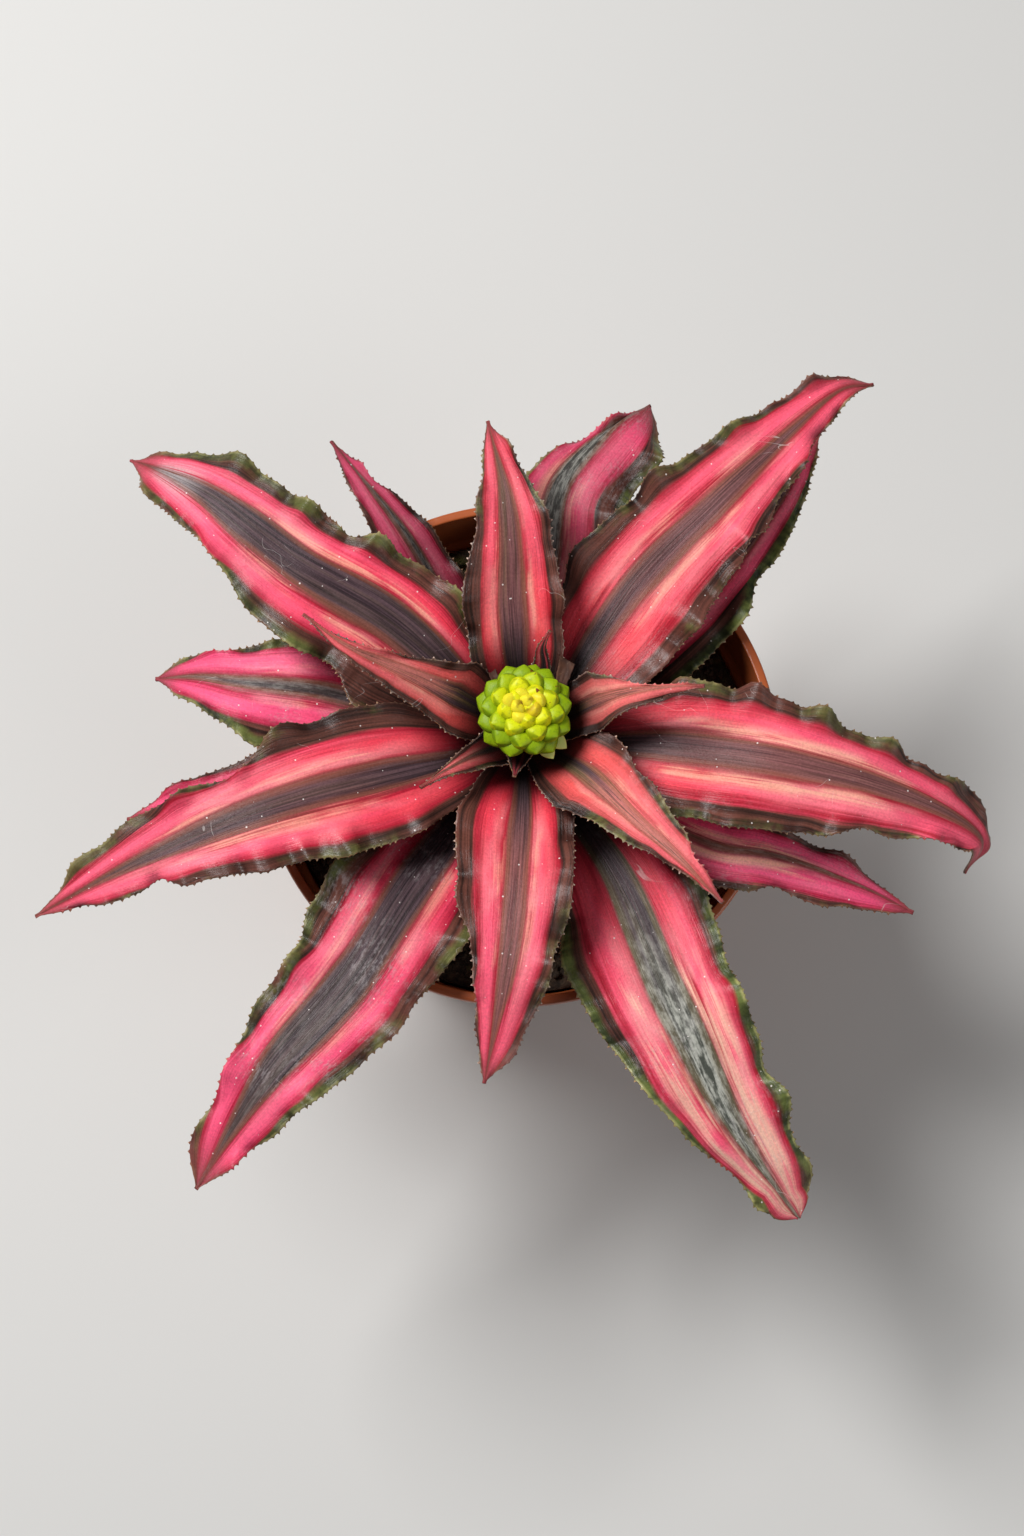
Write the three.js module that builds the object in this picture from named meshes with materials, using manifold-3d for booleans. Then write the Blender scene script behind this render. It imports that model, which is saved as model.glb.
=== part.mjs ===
// An earth star bromeliad in a round plastic nursery pot. Millimetres, +Z up.
// The origin is the middle of the pot's underside, and the pot stands on the plane z = 0.

import * as THREE from 'three';
import { mergeVertices } from 'three/addons/utils/BufferGeometryUtils.js';
import Module from 'manifold-3d';

const wasm = await Module();
wasm.setup();

const { degToRad, lerp, smoothstep } = THREE.MathUtils;
const TURN = 2 * Math.PI;
const GOLDEN_ANGLE = degToRad(137.508);

// ---------------------------------------------------------------- driving dimensions

const FIT_GAP = 0.3; // clearance between pieces that rest against each other

const POT = {
	height: 95,
	rimRadius: 60,
	baseRadius: 42,
	wall: 1.2,
	lipWidth: 2.2, // the rolled lip on top of the collar
	lipHeight: 2,
	lipRound: 0.6,
	collarHeight: 15,
	collarInset: 1, // the collar's top lies this far inside the lip's outside
	collarFlare: 1.2, // how much wider the collar is at its top than at its foot
	collarStep: 1.6, // how far the collar's foot stands out from the wall below it
	ledge: 1.4, // rise of that step
	floor: 1.8,
	footBevel: 2,
	sides: 48,
	drainHoles: 6,
	drainRadius: 3.2,
	drainCircle: 31,
	drainSides: 16,
};

// Where the tapered wall ends and the collar steps out.
const SHOULDER = {
	height: POT.height - POT.collarHeight,
	radius: POT.rimRadius - POT.collarInset - POT.collarFlare - POT.collarStep,
};

const SOIL = {
	edge: 82, // height of the soil where it meets the pot
	crown: 84, // height of the soil at the stem
	lump: 1.1, // how far crumbs and bark stand up from the surface
	rings: 7,
};

const STEM = { radius: 5.5, foot: 60, footBevel: 4, top: 111.5, sides: 24 };

// The plant stands a little off the middle of its pot.
const PLANT_AXIS = new THREE.Vector3(1.3, 1.5, 0);

const HEAD = {
	base: STEM.top + FIT_GAP,
	coreRadius: 8.8,
	coreHeight: 9.6,
	coreFoot: 5, // radius of the core's flat underside
	coreCurve: [[0.9, 0.24], [1, 0.5], [0.84, 0.76], [0.45, 0.95]], // shares of radius and height
	coreSides: 18,
	lean: 1.2, // the head's axis stands this far behind the stem's
	bracts: 46,
	bractSizes: [0.75, 1.05], // relative sizes of the innermost and the outermost bract
	bractLength: 3.3, // half lengths of a bract along its own axis, across it and through it
	bractWidth: 2.7,
	bractDepth: 2.1,
	bractLift: degToRad(14), // the outermost bracts point above the horizontal by this much
	bractSeat: 0.8, // share of the core's radius at which the middle of a bract lies
	lowestBract: degToRad(100), // angle from the crown down to the last ring of bracts
};

const LEAF = {
	rootRadius: STEM.radius + 0.6, // each blade starts here, wrapped round the stem
	firstRoot: 86.5, // height of the oldest blade's root
	rootPitch: 1.25, // rise of the stem from one blade's root to the next
	rootHalfWidth: 4.4,
	claspEnd: 42, // distance from the stem at which the wrapped base has become a flat blade
	midribThickness: 1.0,
	marginThickness: 0.62,
	tipHalfWidth: 0.45,
	channel: 0.08, // rise of the margins above the midrib, as a share of the half width
	waveStart: 0.45, // share of the half width beyond which the margin is waved
	wavesGrow: [0.08, 0.3], // shares of the length over which the waves grow from nothing
	wavesDie: [0.88, 1], // and over which they fade again at the tip
	leastRun: 0.3, // a spine is taken to be no steeper than this run in its length
	tooth: 0.45, // how far a marginal tooth stands out
};

// One blade each, oldest first. heading is in degrees from +X towards +Y; every spine point after the
// root is [out, aside, up]: millimetres from the stem's axis along the heading, to its left, and above
// the pot's underside. The blade is at its widest at the share `widest` of its length. left and right
// are its two sides seen looking out from the stem, each [widest half width, fullness towards the tip,
// waves along the margin, phase of the first wave in turns, ...bays]; lift is the height of those waves.
// A bay is a hollow in the margin, [middle, spread, depth]: shares of the length, of the length and of
// the half width there. Where its depth is negative the margin has a lobe instead.
const LEAVES = [
	{
		name: 'leaf_low_west', heading: -169, widest: 0.45, lift: 0.8,
		left: [11, 2, 4.2, 0.1], right: [12, 2, 4.6, 0.3],
		spine: [[34, 1, 94], [60, 3, 98], [80, 1, 97], [93, 0, 93]],
	},
	{
		name: 'leaf_low_back_right', heading: 47, widest: 0.38, lift: 1.2,
		left: [12, 1.8, 4.2, 0.2], right: [12.4, 1.7, 4.7, 0.83, [0.6, 0.05, 0.22], [0.73, 0.05, 0.16]],
		spine: [[38, -5, 96], [58, -6, 99], [82, -4, 98], [104, 1, 93]],
	},
	{
		name: 'leaf_low_left', heading: 168, widest: 0.48, lift: 1,
		left: [15, 1.8, 4.7, 0, [0.66, 0.04, -0.2]], right: [12, 1.8, 3.6, 0.31, [0.79, 0.05, 0.2], [0.93, 0.04, -0.5]],
		spine: [[43, -2, 98], [65, 0, 99], [77, 0, 95], [88, 1, 88]],
	},
	{
		name: 'leaf_low_right', heading: -24, widest: 0.48, lift: 1,
		left: [9, 1.9, 4.6, 0.64], right: [8, 2.8, 5.8, 0.84, [0.65, 0.05, 0.26]],
		spine: [[44, -7, 97], [63, -4, 99], [82, -1, 96], [97, 0, 92]],
	},
	{
		name: 'leaf_low_back_left', heading: 122, widest: 0.4, lift: 0.8,
		left: [8, 1.9, 3.6, 0.3, [0.8, 0.04, 0.2]], right: [7.6, 1.5, 4.1, 0.7, [0.83, 0.05, 0.4]],
		spine: [[44, -2, 96.5], [57, -2, 100], [70, -1, 101], [86, 0, 98]],
	},
	{
		name: 'leaf_low_back', heading: 78, widest: 0.5, lift: 1.8,
		left: [12.5, 1, 3.5, 0.2, [0.87, 0.1, 0.6]], right: [15, 6.5, 3.7, 0.1],
		spine: [[44, 2, 99], [60, 3, 103], [76, -4, 102], [87, -12, 96]],
	},
	{
		name: 'leaf_front_right', heading: -61, widest: 0.45, lift: 2, tipHalfWidth: 2.6,
		left: [14, 4.4, 4.8, 0.48, [0.57, 0.06, 0.14], [0.72, 0.05, 0.12], [0.95, 0.04, -0.6]], right: [21, 1.7, 3.8, 0.6, [0.71, 0.07, 0.15], [0.84, 0.05, 0.18], [0.95, 0.035, -0.6]],
		spine: [[38, 4, 101], [71, 0, 107], [100, -3, 105], [125, 0, 96]],
	},
	{
		name: 'leaf_front_left', heading: -125, widest: 0.32, lift: 2,
		left: [16.4, 2.9, 5.5, 0.19, [0.56, 0.12, 0.1], [0.75, 0.05, 0.18], [0.9, 0.04, 0.2]], right: [16.6, 3.3, 4.9, 0.42, [0.45, 0.06, -0.08], [0.58, 0.07, 0.15], [0.785, 0.08, 0.32], [0.95, 0.05, -0.55]],
		spine: [[41, 0, 102], [70, 2, 106], [98, -1, 103], [126, -1, 94]],
	},
	{
		name: 'leaf_back_right', heading: 46, widest: 0.3, lift: 2,
		left: [13.7, 2.6, 5.4, 0.5, [0.7, 0.04, 0.15], [0.95, 0.03, -0.4]], right: [19.3, 1.5, 5.1, 0.42, [0.55, 0.03, 0.2], [0.66, 0.04, 0.14], [0.78, 0.055, 0.3]],
		spine: [[42, 7, 106], [68, 6, 111], [94, 5, 110], [110, 4, 107], [118, 0, 104]],
	},
	{
		name: 'leaf_back_left', heading: 144, widest: 0.33, lift: 2,
		left: [18.2, 2.4, 4.6, 0.03, [0.25, 0.07, -0.28], [0.7, 0.08, 0.27], [0.9, 0.06, -0.15]],
		right: [13.8, 3.4, 5.9, 0.74, [0.47, 0.05, 0.17], [0.6, 0.04, 0.13], [0.83, 0.06, -0.12]],
		spine: [[38, -4, 106], [65, -1, 111], [93, -2, 109], [114, 0, 101]],
	},
	{
		name: 'leaf_right', heading: -13, widest: 0.33, lift: 1.9,
		left: [14.6, 1.6, 7.6, 0.21, [0.58, 0.08, 0.08], [0.855, 0.035, -0.85]], right: [18.4, 2.4, 5, 0.21, [0.65, 0.07, 0.23], [0.81, 0.06, 0.3]],
		spine: [[35, 4, 109], [62, 5, 113], [90, 4, 108], [106, 0, 100], [105, -7, 93]],
	},
	{
		name: 'leaf_left', heading: -159, widest: 0.32, lift: 1.8,
		left: [20.2, 1.5, 6.4, 0.82, [0.745, 0.035, 0.22]], right: [13.6, 2.2, 4.6, 0.23, [0.53, 0.075, 0.44], [0.66, 0.055, 0.36]],
		spine: [[34, -4, 109], [59, -5, 113], [86, -4, 109], [118, 0, 101]],
	},
	{
		name: 'leaf_mid_back', heading: 97, widest: 0.27, lift: 1.1,
		left: [11.6, 2.1, 3.1, 0.97, [0.66, 0.12, 0.1], [0.8, 0.06, 0.15]], right: [11.2, 2, 3.9, 0.7],
		spine: [[29, -1, 113], [40, -2, 119], [52, -2, 122], [69, 0, 122]],
	},
	{
		name: 'leaf_mid_front', heading: -97, widest: 0.3, lift: 1.1,
		left: [13.8, 2.7, 3.6, 0.82, [0.38, 0.06, 0.08], [0.64, 0.06, 0.13], [0.91, 0.05, -0.25]], right: [13.4, 1.6, 4.2, 0.1, [0.67, 0.05, 0.14], [0.6, 0.04, 0.15], [0.76, 0.06, 0.3]],
		spine: [[25, 1, 112], [42, 2, 117], [60, 2, 117], [82, 1, 110]],
	},
	{
		name: 'leaf_inner_left', heading: 157, widest: 0.26, lift: 0.6,
		left: [9, 0.85, 2.2, 0.1], right: [9.2, 0.55, 2.7, 0.5, [0.65, 0.12, 0.25]],
		spine: [[21, 1, 115], [31, 2.2, 122], [42, 3.3, 128], [53, 1, 130]],
	},
	{
		name: 'leaf_inner_front', heading: -48, widest: 0.3, lift: 0.7,
		left: [10.8, 1.5, 2.6, 0.2, [0.25, 0.05, -0.14], [0.4, 0.05, 0.15], [0.81, 0.06, 0.35]], right: [10, 0.6, 3.1, 0.6],
		spine: [[19, 1, 114], [34, 0.6, 121], [48, 1.2, 126], [62, 1.6, 128]],
	},
	{
		name: 'leaf_inner_right', heading: 7, widest: 0.36, lift: 0.4,
		left: [7.4, 0.6, 2, 0.3, [0.68, 0.17, 0.65]], right: [6.8, 0.8, 2.2, 0.1],
		spine: [[17, 2, 115], [27, 1.6, 122], [39.8, -1, 128]],
	},
	{
		name: 'leaf_heart_front', heading: -141, widest: 0.12, lift: 0.2, rootHalfWidth: 5.6,
		left: [6.2, 0.85, 1.2, 0.1], right: [5.6, 0.55, 1.3, 0.5],
		spine: [[15, -1, 114], [22, -1, 118.5], [29, -1, 121]],
	},
	{
		name: 'leaf_heart_back', heading: 73, widest: 0.12, lift: 0.1, rootHalfWidth: 3.7,
		left: [3.9, 0.9, 1, 0.1], right: [3.9, 0.9, 1, 0.4],
		spine: [[13, 0, 115], [16, 1, 119], [19, 0, 123]],
	},
	{
		name: 'leaf_heart_low', heading: -100, widest: 0.1, lift: 0.1, rootHalfWidth: 3.4,
		left: [3.5, 1, 1, 0.2], right: [3.5, 1, 1, 0.6],
		spine: [[10, 0, 113], [14, 0, 116]],
	},
];

// Dried scraps of old bracts, rooted near the top of the stem between the leaves. Each strap widens
// evenly from root to tip, both given as half widths.
const DRY_BRACT_ROOT = 110.6;
const DRY_BRACT_STEPS = 8;
const DRY_BRACTS = [
	{
		name: 'dry_bract_right', heading: 34, root: 0.7, tip: 2,
		spine: [[9, 0.8, 112.4], [13, 3.6, 113.6], [16, 6, 114]],
	},
	{
		name: 'dry_bract_left', heading: 123, root: 0.8, tip: 0.9,
		spine: [[9, 0, 112], [11.5, 0.5, 115], [13.4, 0, 114]],
	},
];

// Steps along a blade and places across each side of it, by its wider side.
const BLADE_STEPS = [
	{ halfOver: 15.5, along: 30, places: [0, 0.42, 0.76, 1] },
	{ halfOver: 9.5, along: 24, places: [0, 0.55, 1] },
	{ halfOver: 0, along: 14, places: [0, 0.55, 1] },
];

const MATERIALS = {
	pot: { color: 0x8a3a1c, roughness: 0.4, metalness: 0 },
	soil: { color: 0x241812, roughness: 0.95, metalness: 0 },
	stem: { color: 0x4a5230, roughness: 0.7, metalness: 0 },
	blade: { color: 0xd23c50, roughness: 0.45, metalness: 0 },
	dryBract: { color: 0x5a3020, roughness: 0.8, metalness: 0 },
	head: { color: 0xa8c814, roughness: 0.5, metalness: 0 },
};

// ---------------------------------------------------------------- solids and meshes

function toSolid(geometry) {
	const bare = geometry.index ? geometry.toNonIndexed() : geometry.clone();
	bare.deleteAttribute('normal');
	bare.deleteAttribute('uv');
	const merged = mergeVertices(bare, 1e-4);
	return new wasm.Manifold(new wasm.Mesh({
		numProp: 3,
		vertProperties: merged.attributes.position.array,
		triVerts: new Uint32Array(merged.index.array),
	}));
}

function toGeometry(solid) {
	const mesh = solid.getMesh();
	const geometry = new THREE.BufferGeometry();
	geometry.setAttribute('position', new THREE.BufferAttribute(mesh.vertProperties, 3));
	geometry.setIndex(new THREE.BufferAttribute(mesh.triVerts, 1));
	geometry.computeVertexNormals();
	return geometry;
}

function makeMesh(name, geometry, material) {
	const mesh = new THREE.Mesh(geometry, new THREE.MeshStandardMaterial(MATERIALS[material]));
	mesh.name = name;
	return mesh;
}

// A solid of revolution about Z from [radius, height] pairs that start and end on the axis, listed
// upwards along the outside so that the faces point out.
function turned(profile, sides) {
	const geometry = new THREE.LatheGeometry(profile.map(([r, z]) => new THREE.Vector2(r, z)), sides);
	return geometry.rotateX(Math.PI / 2);
}

// ---------------------------------------------------------------- pot

// Inside radius of the tapered wall, from the floor up to the ledge under the collar.
function potInside(z) {
	const foot = POT.floor + POT.footBevel;
	const ledge = SHOULDER.height + POT.ledge;
	return lerp(POT.baseRadius, SHOULDER.radius, (z - foot) / (ledge - foot)) - POT.wall;
}

function makePot() {
	const { height, rimRadius, baseRadius, wall, ledge, floor, footBevel } = POT;
	const { lipWidth, lipHeight, lipRound } = POT;
	const collarFoot = SHOULDER.radius + POT.collarStep;
	const profile = [
		[0, 0],
		[baseRadius - footBevel, 0],
		[baseRadius, footBevel],
		[SHOULDER.radius, SHOULDER.height],
		[collarFoot, SHOULDER.height + ledge],
		[rimRadius - POT.collarInset, height - lipHeight - lipRound],
		[rimRadius, height - lipHeight],
		[rimRadius, height - lipRound],
		[rimRadius - lipRound, height],
		[rimRadius - lipWidth + lipRound, height],
		[rimRadius - lipWidth, height - lipRound],
		[collarFoot - wall, SHOULDER.height + 2 * ledge],
		[SHOULDER.radius - wall, SHOULDER.height + ledge],
		[baseRadius - wall, floor + footBevel],
		[baseRadius - wall - footBevel, floor],
		[0, floor],
	];
	let pot = toSolid(turned(profile, POT.sides));
	for (let i = 0; i < POT.drainHoles; i++) {
		const angle = (i + 0.5) * TURN / POT.drainHoles;
		const drill = new THREE.CylinderGeometry(POT.drainRadius, POT.drainRadius, 4 * POT.floor, POT.drainSides)
			.rotateX(Math.PI / 2)
			.translate(POT.drainCircle * Math.cos(angle), POT.drainCircle * Math.sin(angle), 0);
		pot = pot.subtract(toSolid(drill));
	}
	return makeMesh('pot', toGeometry(pot), 'pot');
}

// ---------------------------------------------------------------- soil

// Crumbs and bark pieces, as a sum of waves that never lines up with itself.
function soilLump(x, y) {
	return SOIL.lump * (
		0.45 * Math.sin(0.55 * x + 1.3) * Math.cos(0.48 * y)
		+ 0.35 * Math.sin(0.9 * y + 0.31 * x)
		+ 0.3 * Math.cos(1.3 * x - 0.7 * y + 2)
	);
}

function makeSoil() {
	const floor = POT.floor + FIT_GAP;
	const ledge = SHOULDER.height + POT.ledge;
	const edgeRadius = potInside(ledge) - FIT_GAP;
	const footRadius = potInside(POT.floor + POT.footBevel) - FIT_GAP;
	const profile = [
		[0, floor],
		[footRadius - POT.footBevel, floor],
		[footRadius, floor + POT.footBevel],
		[edgeRadius, ledge],
	];
	for (let i = 0; i < SOIL.rings; i++) {
		const share = i / SOIL.rings;
		profile.push([lerp(edgeRadius, 0, share), lerp(SOIL.edge, SOIL.crown, share)]);
	}
	profile.push([0, SOIL.crown]);
	const geometry = turned(profile, POT.sides);
	const at = geometry.attributes.position;
	for (let i = 0; i < at.count; i++) {
		const radius = Math.hypot(at.getX(i), at.getY(i));
		if (at.getZ(i) < SOIL.edge || radius < 1 || radius > edgeRadius - 1) continue;
		at.setZ(i, at.getZ(i) + soilLump(at.getX(i), at.getY(i)));
	}
	const holeRadius = STEM.radius + FIT_GAP;
	const holeFoot = STEM.foot - FIT_GAP;
	const hole = new THREE.CylinderGeometry(holeRadius, holeRadius, POT.height - holeFoot, STEM.sides)
		.rotateX(Math.PI / 2)
		.translate(PLANT_AXIS.x, PLANT_AXIS.y, (POT.height + holeFoot) / 2);
	return makeMesh('soil', toGeometry(toSolid(geometry).subtract(toSolid(hole))), 'soil');
}

// ---------------------------------------------------------------- stem

function makeStem() {
	const profile = [
		[0, STEM.foot],
		[STEM.radius - STEM.footBevel, STEM.foot],
		[STEM.radius, STEM.foot + STEM.footBevel],
		[STEM.radius, STEM.top],
		[0, STEM.top],
	];
	return makeMesh('stem', turned(profile, STEM.sides), 'stem');
}

// ---------------------------------------------------------------- leaves

function halfWidth(leaf, side, t) {
	const [full, fullness, , , ...bays] = side;
	const root = leaf.rootHalfWidth ?? LEAF.rootHalfWidth;
	const past = Math.max(0, t - leaf.widest) / (1 - leaf.widest);
	let half = full * (1 - past ** fullness);
	if (t < leaf.widest) half = lerp(root, full, Math.sin(Math.PI / 2 * t / leaf.widest));
	for (const [middle, spread, depth] of bays) half *= 1 - depth * Math.exp(-(((t - middle) / spread) ** 2));
	return Math.max(leaf.tipHalfWidth ?? LEAF.tipHalfWidth, half);
}

// Place, side and normal of a blade at equal steps along its spine, with no twist from step to step.
function spineFrames(spine, rootHeight, steps) {
	const points = [[LEAF.rootRadius, 0, rootHeight], ...spine].map((p) => new THREE.Vector3(...p));
	const curve = new THREE.CatmullRomCurve3(points, false, 'catmullrom', 0.5);
	const side = new THREE.Vector3(0, 1, 0);
	const frames = [];
	for (let i = 0; i <= steps; i++) {
		const tangent = curve.getTangentAt(i / steps);
		side.addScaledVector(tangent, -side.dot(tangent)).normalize();
		frames.push({
			t: i / steps,
			point: curve.getPointAt(i / steps),
			side: side.clone(),
			normal: new THREE.Vector3().crossVectors(tangent, side),
			slope: tangent.z / Math.max(LEAF.leastRun, Math.hypot(tangent.x, tangent.y)),
		});
	}
	return frames;
}

// The blade's own point `across` to the left of its spine: wrapped round the stem at its root, flat past
// the clasp.
function acrossBlade(frame, across) {
	const straight = frame.point.clone().addScaledVector(frame.side, across);
	const out = Math.hypot(frame.point.x, frame.point.y);
	const turn = Math.atan2(frame.point.y, frame.point.x) + across / out;
	const wrapped = new THREE.Vector3(out * Math.cos(turn), out * Math.sin(turn), frame.point.z);
	const clasp = 1 - smoothstep(out, LEAF.rootRadius, LEAF.claspEnd);
	const place = straight.lerp(wrapped, clasp);
	place.z += frame.slope * (Math.hypot(place.x, place.y) - out);
	return place;
}

// Long waves along a margin with shorter, lower ones on them; none at the root or the tip.
function marginWave([, , waves, phase], t) {
	const turn = TURN * (waves * t + phase);
	const fade = smoothstep(t, ...LEAF.wavesGrow) * (1 - smoothstep(t, ...LEAF.wavesDie));
	return fade * (0.75 * Math.sin(turn) + 0.35 * Math.sin(1.9 * turn + 1));
}

// A point of a leaf's middle surface; s runs from its left margin, 1, to its right margin, -1.
function leafPoint(leaf, frame, s, tooth) {
	const side = s > 0 ? leaf.left : leaf.right;
	const half = halfWidth(leaf, side, frame.t);
	const wave = leaf.lift * marginWave(side, frame.t) * smoothstep(Math.abs(s), LEAF.waveStart, 1);
	const rise = LEAF.channel * half * s * s * smoothstep(frame.t, 0, 0.3) + wave;
	return acrossBlade(frame, s * (half + tooth + wave / 2)).addScaledVector(frame.normal, rise);
}

// A closed blade round a grid of middle points, rows from root to tip and columns from right to left.
// Both faces are split along the same diagonals, so that a waved blade never crosses itself.
function bladeGeometry(rows, thicknesses) {
	const last = rows.length - 1;
	const edge = thicknesses.length - 1;
	const positions = [];
	for (const face of [0.5, -0.5]) {
		rows.forEach((row, i) => row.forEach((place, j) => {
			const lengthwise = rows[Math.min(i + 1, last)][j].clone().sub(rows[Math.max(i - 1, 0)][j]);
			const crosswise = row[Math.min(j + 1, edge)].clone().sub(row[Math.max(j - 1, 0)]);
			const normal = lengthwise.cross(crosswise).normalize();
			positions.push(...place.clone().addScaledVector(normal, face * thicknesses[j]));
		}));
	}
	const top = (i, j) => i * (edge + 1) + j;
	const under = (i, j) => (last + 1) * (edge + 1) + top(i, j);
	const index = [];
	const quad = (a, b, c, d) => index.push(a, b, c, a, c, d);
	for (let i = 0; i < last; i++) {
		for (let j = 0; j < edge; j++) {
			quad(top(i, j), top(i + 1, j), top(i + 1, j + 1), top(i, j + 1));
			index.push(under(i, j), under(i + 1, j + 1), under(i + 1, j));
			index.push(under(i, j), under(i, j + 1), under(i + 1, j + 1));
		}
		quad(under(i, 0), under(i + 1, 0), top(i + 1, 0), top(i, 0));
		quad(top(i, edge), top(i + 1, edge), under(i + 1, edge), under(i, edge));
	}
	for (let j = 0; j < edge; j++) {
		quad(top(0, j), top(0, j + 1), under(0, j + 1), under(0, j));
		quad(under(last, j), under(last, j + 1), top(last, j + 1), top(last, j));
	}
	const geometry = new THREE.BufferGeometry();
	geometry.setAttribute('position', new THREE.Float32BufferAttribute(positions, 3));
	geometry.setIndex(index);
	return geometry;
}

function makeLeaf(leaf, order) {
	const widerHalf = Math.max(leaf.left[0], leaf.right[0]);
	const { along, places } = BLADE_STEPS.find((step) => widerHalf > step.halfOver);
	const shares = [...places.slice(1).map((s) => -s).reverse(), ...places];
	const frames = spineFrames(leaf.spine, LEAF.firstRoot + LEAF.rootPitch * order, along);
	const rows = frames.map((frame, i) => shares.map((s) => {
		const tooth = Math.abs(s) === 1 && i % 2 === 1 ? LEAF.tooth : 0;
		return leafPoint(leaf, frame, s, tooth);
	}));
	const thicknesses = shares.map((s) => lerp(LEAF.midribThickness, LEAF.marginThickness, Math.abs(s)));
	const mesh = makeMesh(leaf.name, bladeGeometry(rows, thicknesses), 'blade');
	mesh.rotation.z = degToRad(leaf.heading);
	return mesh;
}

function makeDryBract(bract) {
	const rows = spineFrames(bract.spine, DRY_BRACT_ROOT, DRY_BRACT_STEPS).map((frame) => [-1, 0, 1].map((s) => (
		acrossBlade(frame, s * lerp(bract.root, bract.tip, frame.t))
	)));
	const thickness = LEAF.marginThickness;
	const mesh = makeMesh(bract.name, bladeGeometry(rows, [thickness, thickness, thickness]), 'dryBract');
	mesh.rotation.z = degToRad(bract.heading);
	return mesh;
}

// ---------------------------------------------------------------- flower head

function makeHead() {
	const { base, coreRadius: r, coreHeight: h } = HEAD;
	const core = turned([
		[0, base],
		[HEAD.coreFoot, base],
		...HEAD.coreCurve.map(([out, up]) => [r * out, base + h * up]),
		[0, base + h],
	], HEAD.coreSides);
	let head = toSolid(core);

	for (let i = 0; i < HEAD.bracts; i++) {
		const share = (i + 0.5) / HEAD.bracts;
		const down = Math.acos(1 - share * (1 - Math.cos(HEAD.lowestBract)));
		const turn = i * GOLDEN_ANGLE;
		const size = lerp(...HEAD.bractSizes, share);
		const seat = HEAD.bractSeat * r * Math.sin(down);
		const bract = new THREE.OctahedronGeometry(1, 1)
			.scale(HEAD.bractDepth * size, HEAD.bractWidth * size, HEAD.bractLength * size)
			.rotateY(down - HEAD.bractLift * Math.sin(down))
			.translate(seat, 0, base + h / 2 + HEAD.bractSeat * Math.cos(down) * h / 2)
			.rotateZ(turn);
		head = head.add(toSolid(bract));
	}
	const mesh = makeMesh('flower_head', toGeometry(head), 'head');
	mesh.position.y = HEAD.lean;
	return mesh;
}

// ---------------------------------------------------------------- assembly

const plant = new THREE.Group();
plant.position.copy(PLANT_AXIS);
plant.add(makeStem(), ...LEAVES.map(makeLeaf), ...DRY_BRACTS.map(makeDryBract), makeHead());

const earthStar = new THREE.Group();
earthStar.add(makePot(), makeSoil(), plant);

export default earthStar;
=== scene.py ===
"""An earth star bromeliad in a round plastic nursery pot, modelled round its fixed frame.

Lengths in the tables and constants below are millimetres; MM turns them into metres where a shape is
made. +Z is up, and the origin is the middle of the pot's underside.
"""

import math
import random

import bmesh
import bpy
from bpy.props import FloatProperty, FloatVectorProperty, IntProperty, PointerProperty
from mathutils import Matrix, Vector, geometry, noise


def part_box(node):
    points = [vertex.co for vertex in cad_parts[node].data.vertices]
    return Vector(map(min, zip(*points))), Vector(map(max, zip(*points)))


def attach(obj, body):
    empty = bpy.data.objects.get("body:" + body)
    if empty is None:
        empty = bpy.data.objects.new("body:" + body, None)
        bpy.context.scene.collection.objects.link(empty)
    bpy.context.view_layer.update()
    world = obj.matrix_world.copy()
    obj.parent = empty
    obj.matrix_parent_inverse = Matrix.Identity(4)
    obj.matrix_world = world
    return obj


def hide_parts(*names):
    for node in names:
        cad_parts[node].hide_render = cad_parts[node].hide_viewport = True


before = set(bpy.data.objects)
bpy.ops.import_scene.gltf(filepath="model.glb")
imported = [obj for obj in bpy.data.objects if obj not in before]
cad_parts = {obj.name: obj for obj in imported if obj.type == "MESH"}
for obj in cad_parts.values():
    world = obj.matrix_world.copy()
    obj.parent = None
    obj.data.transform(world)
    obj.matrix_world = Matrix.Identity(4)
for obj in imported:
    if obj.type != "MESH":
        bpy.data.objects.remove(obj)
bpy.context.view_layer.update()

bl_info = {
    "name": "Earth star bromeliad",
    "version": (1, 0, 0),
    "blender": (4, 5, 0),
    "location": "3D View > Sidebar > Earth Star",
    "description": "Builds a striped earth star with its flower head, soil and nursery pot",
    "category": "Add Mesh",
}

MM = 0.001

# ---------------------------------------------------------------- the plant's driving dimensions

PLANT_AXIS = Vector((1.3, 1.5, 0))
FIRST_ROOT = 86.5       # height of the oldest blade's root
ROOT_PITCH = 1.25       # rise of the stem from one blade's root to the next
ROOT_RADIUS = 6.1       # the blades start here, wrapped round the stem
ROOT_HALF_WIDTH = 4.4
TIP_HALF_WIDTH = 0.45
CLASP_END = 42          # distance from the stem at which the wrapped base has become a flat blade
CHANNEL = 0.08          # rise of the margins above the midrib, as a share of the half width
BLUNT_FROM = 0.955      # share of its length at which a blunt blade begins to round off
TIP_NOTCH = 1.2
WAVE_START = 0.45       # share of the half width beyond which the margin is waved
WAVES_GROW = (0.08, 0.3)
WAVES_DIE = (0.88, 1.0)
ROWS_PER_TOOTH = 4
LEAST_RUN = 0.3         # a spine is taken to be no steeper than this run in its length
NOTCH_PLACE = -0.4      # where across its width a blunt tip is notched, and how wide that notch is
NOTCH_SPREAD = 0.2
NARROW_BLADE = 8        # blades of this half width or less need fewer columns of faces
COLUMNS_SAVED = 8
FULL_GROWN = 9          # half width from which a blade has its full teeth and crimps
CRIMP_LENGTH = 8
FINE_CRIMP_LENGTH = 3.6
FINE_CRIMP = 0.6        # height of the fine crimps, as a share of the long ones
CRIMP_GAIN = 1.7
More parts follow.
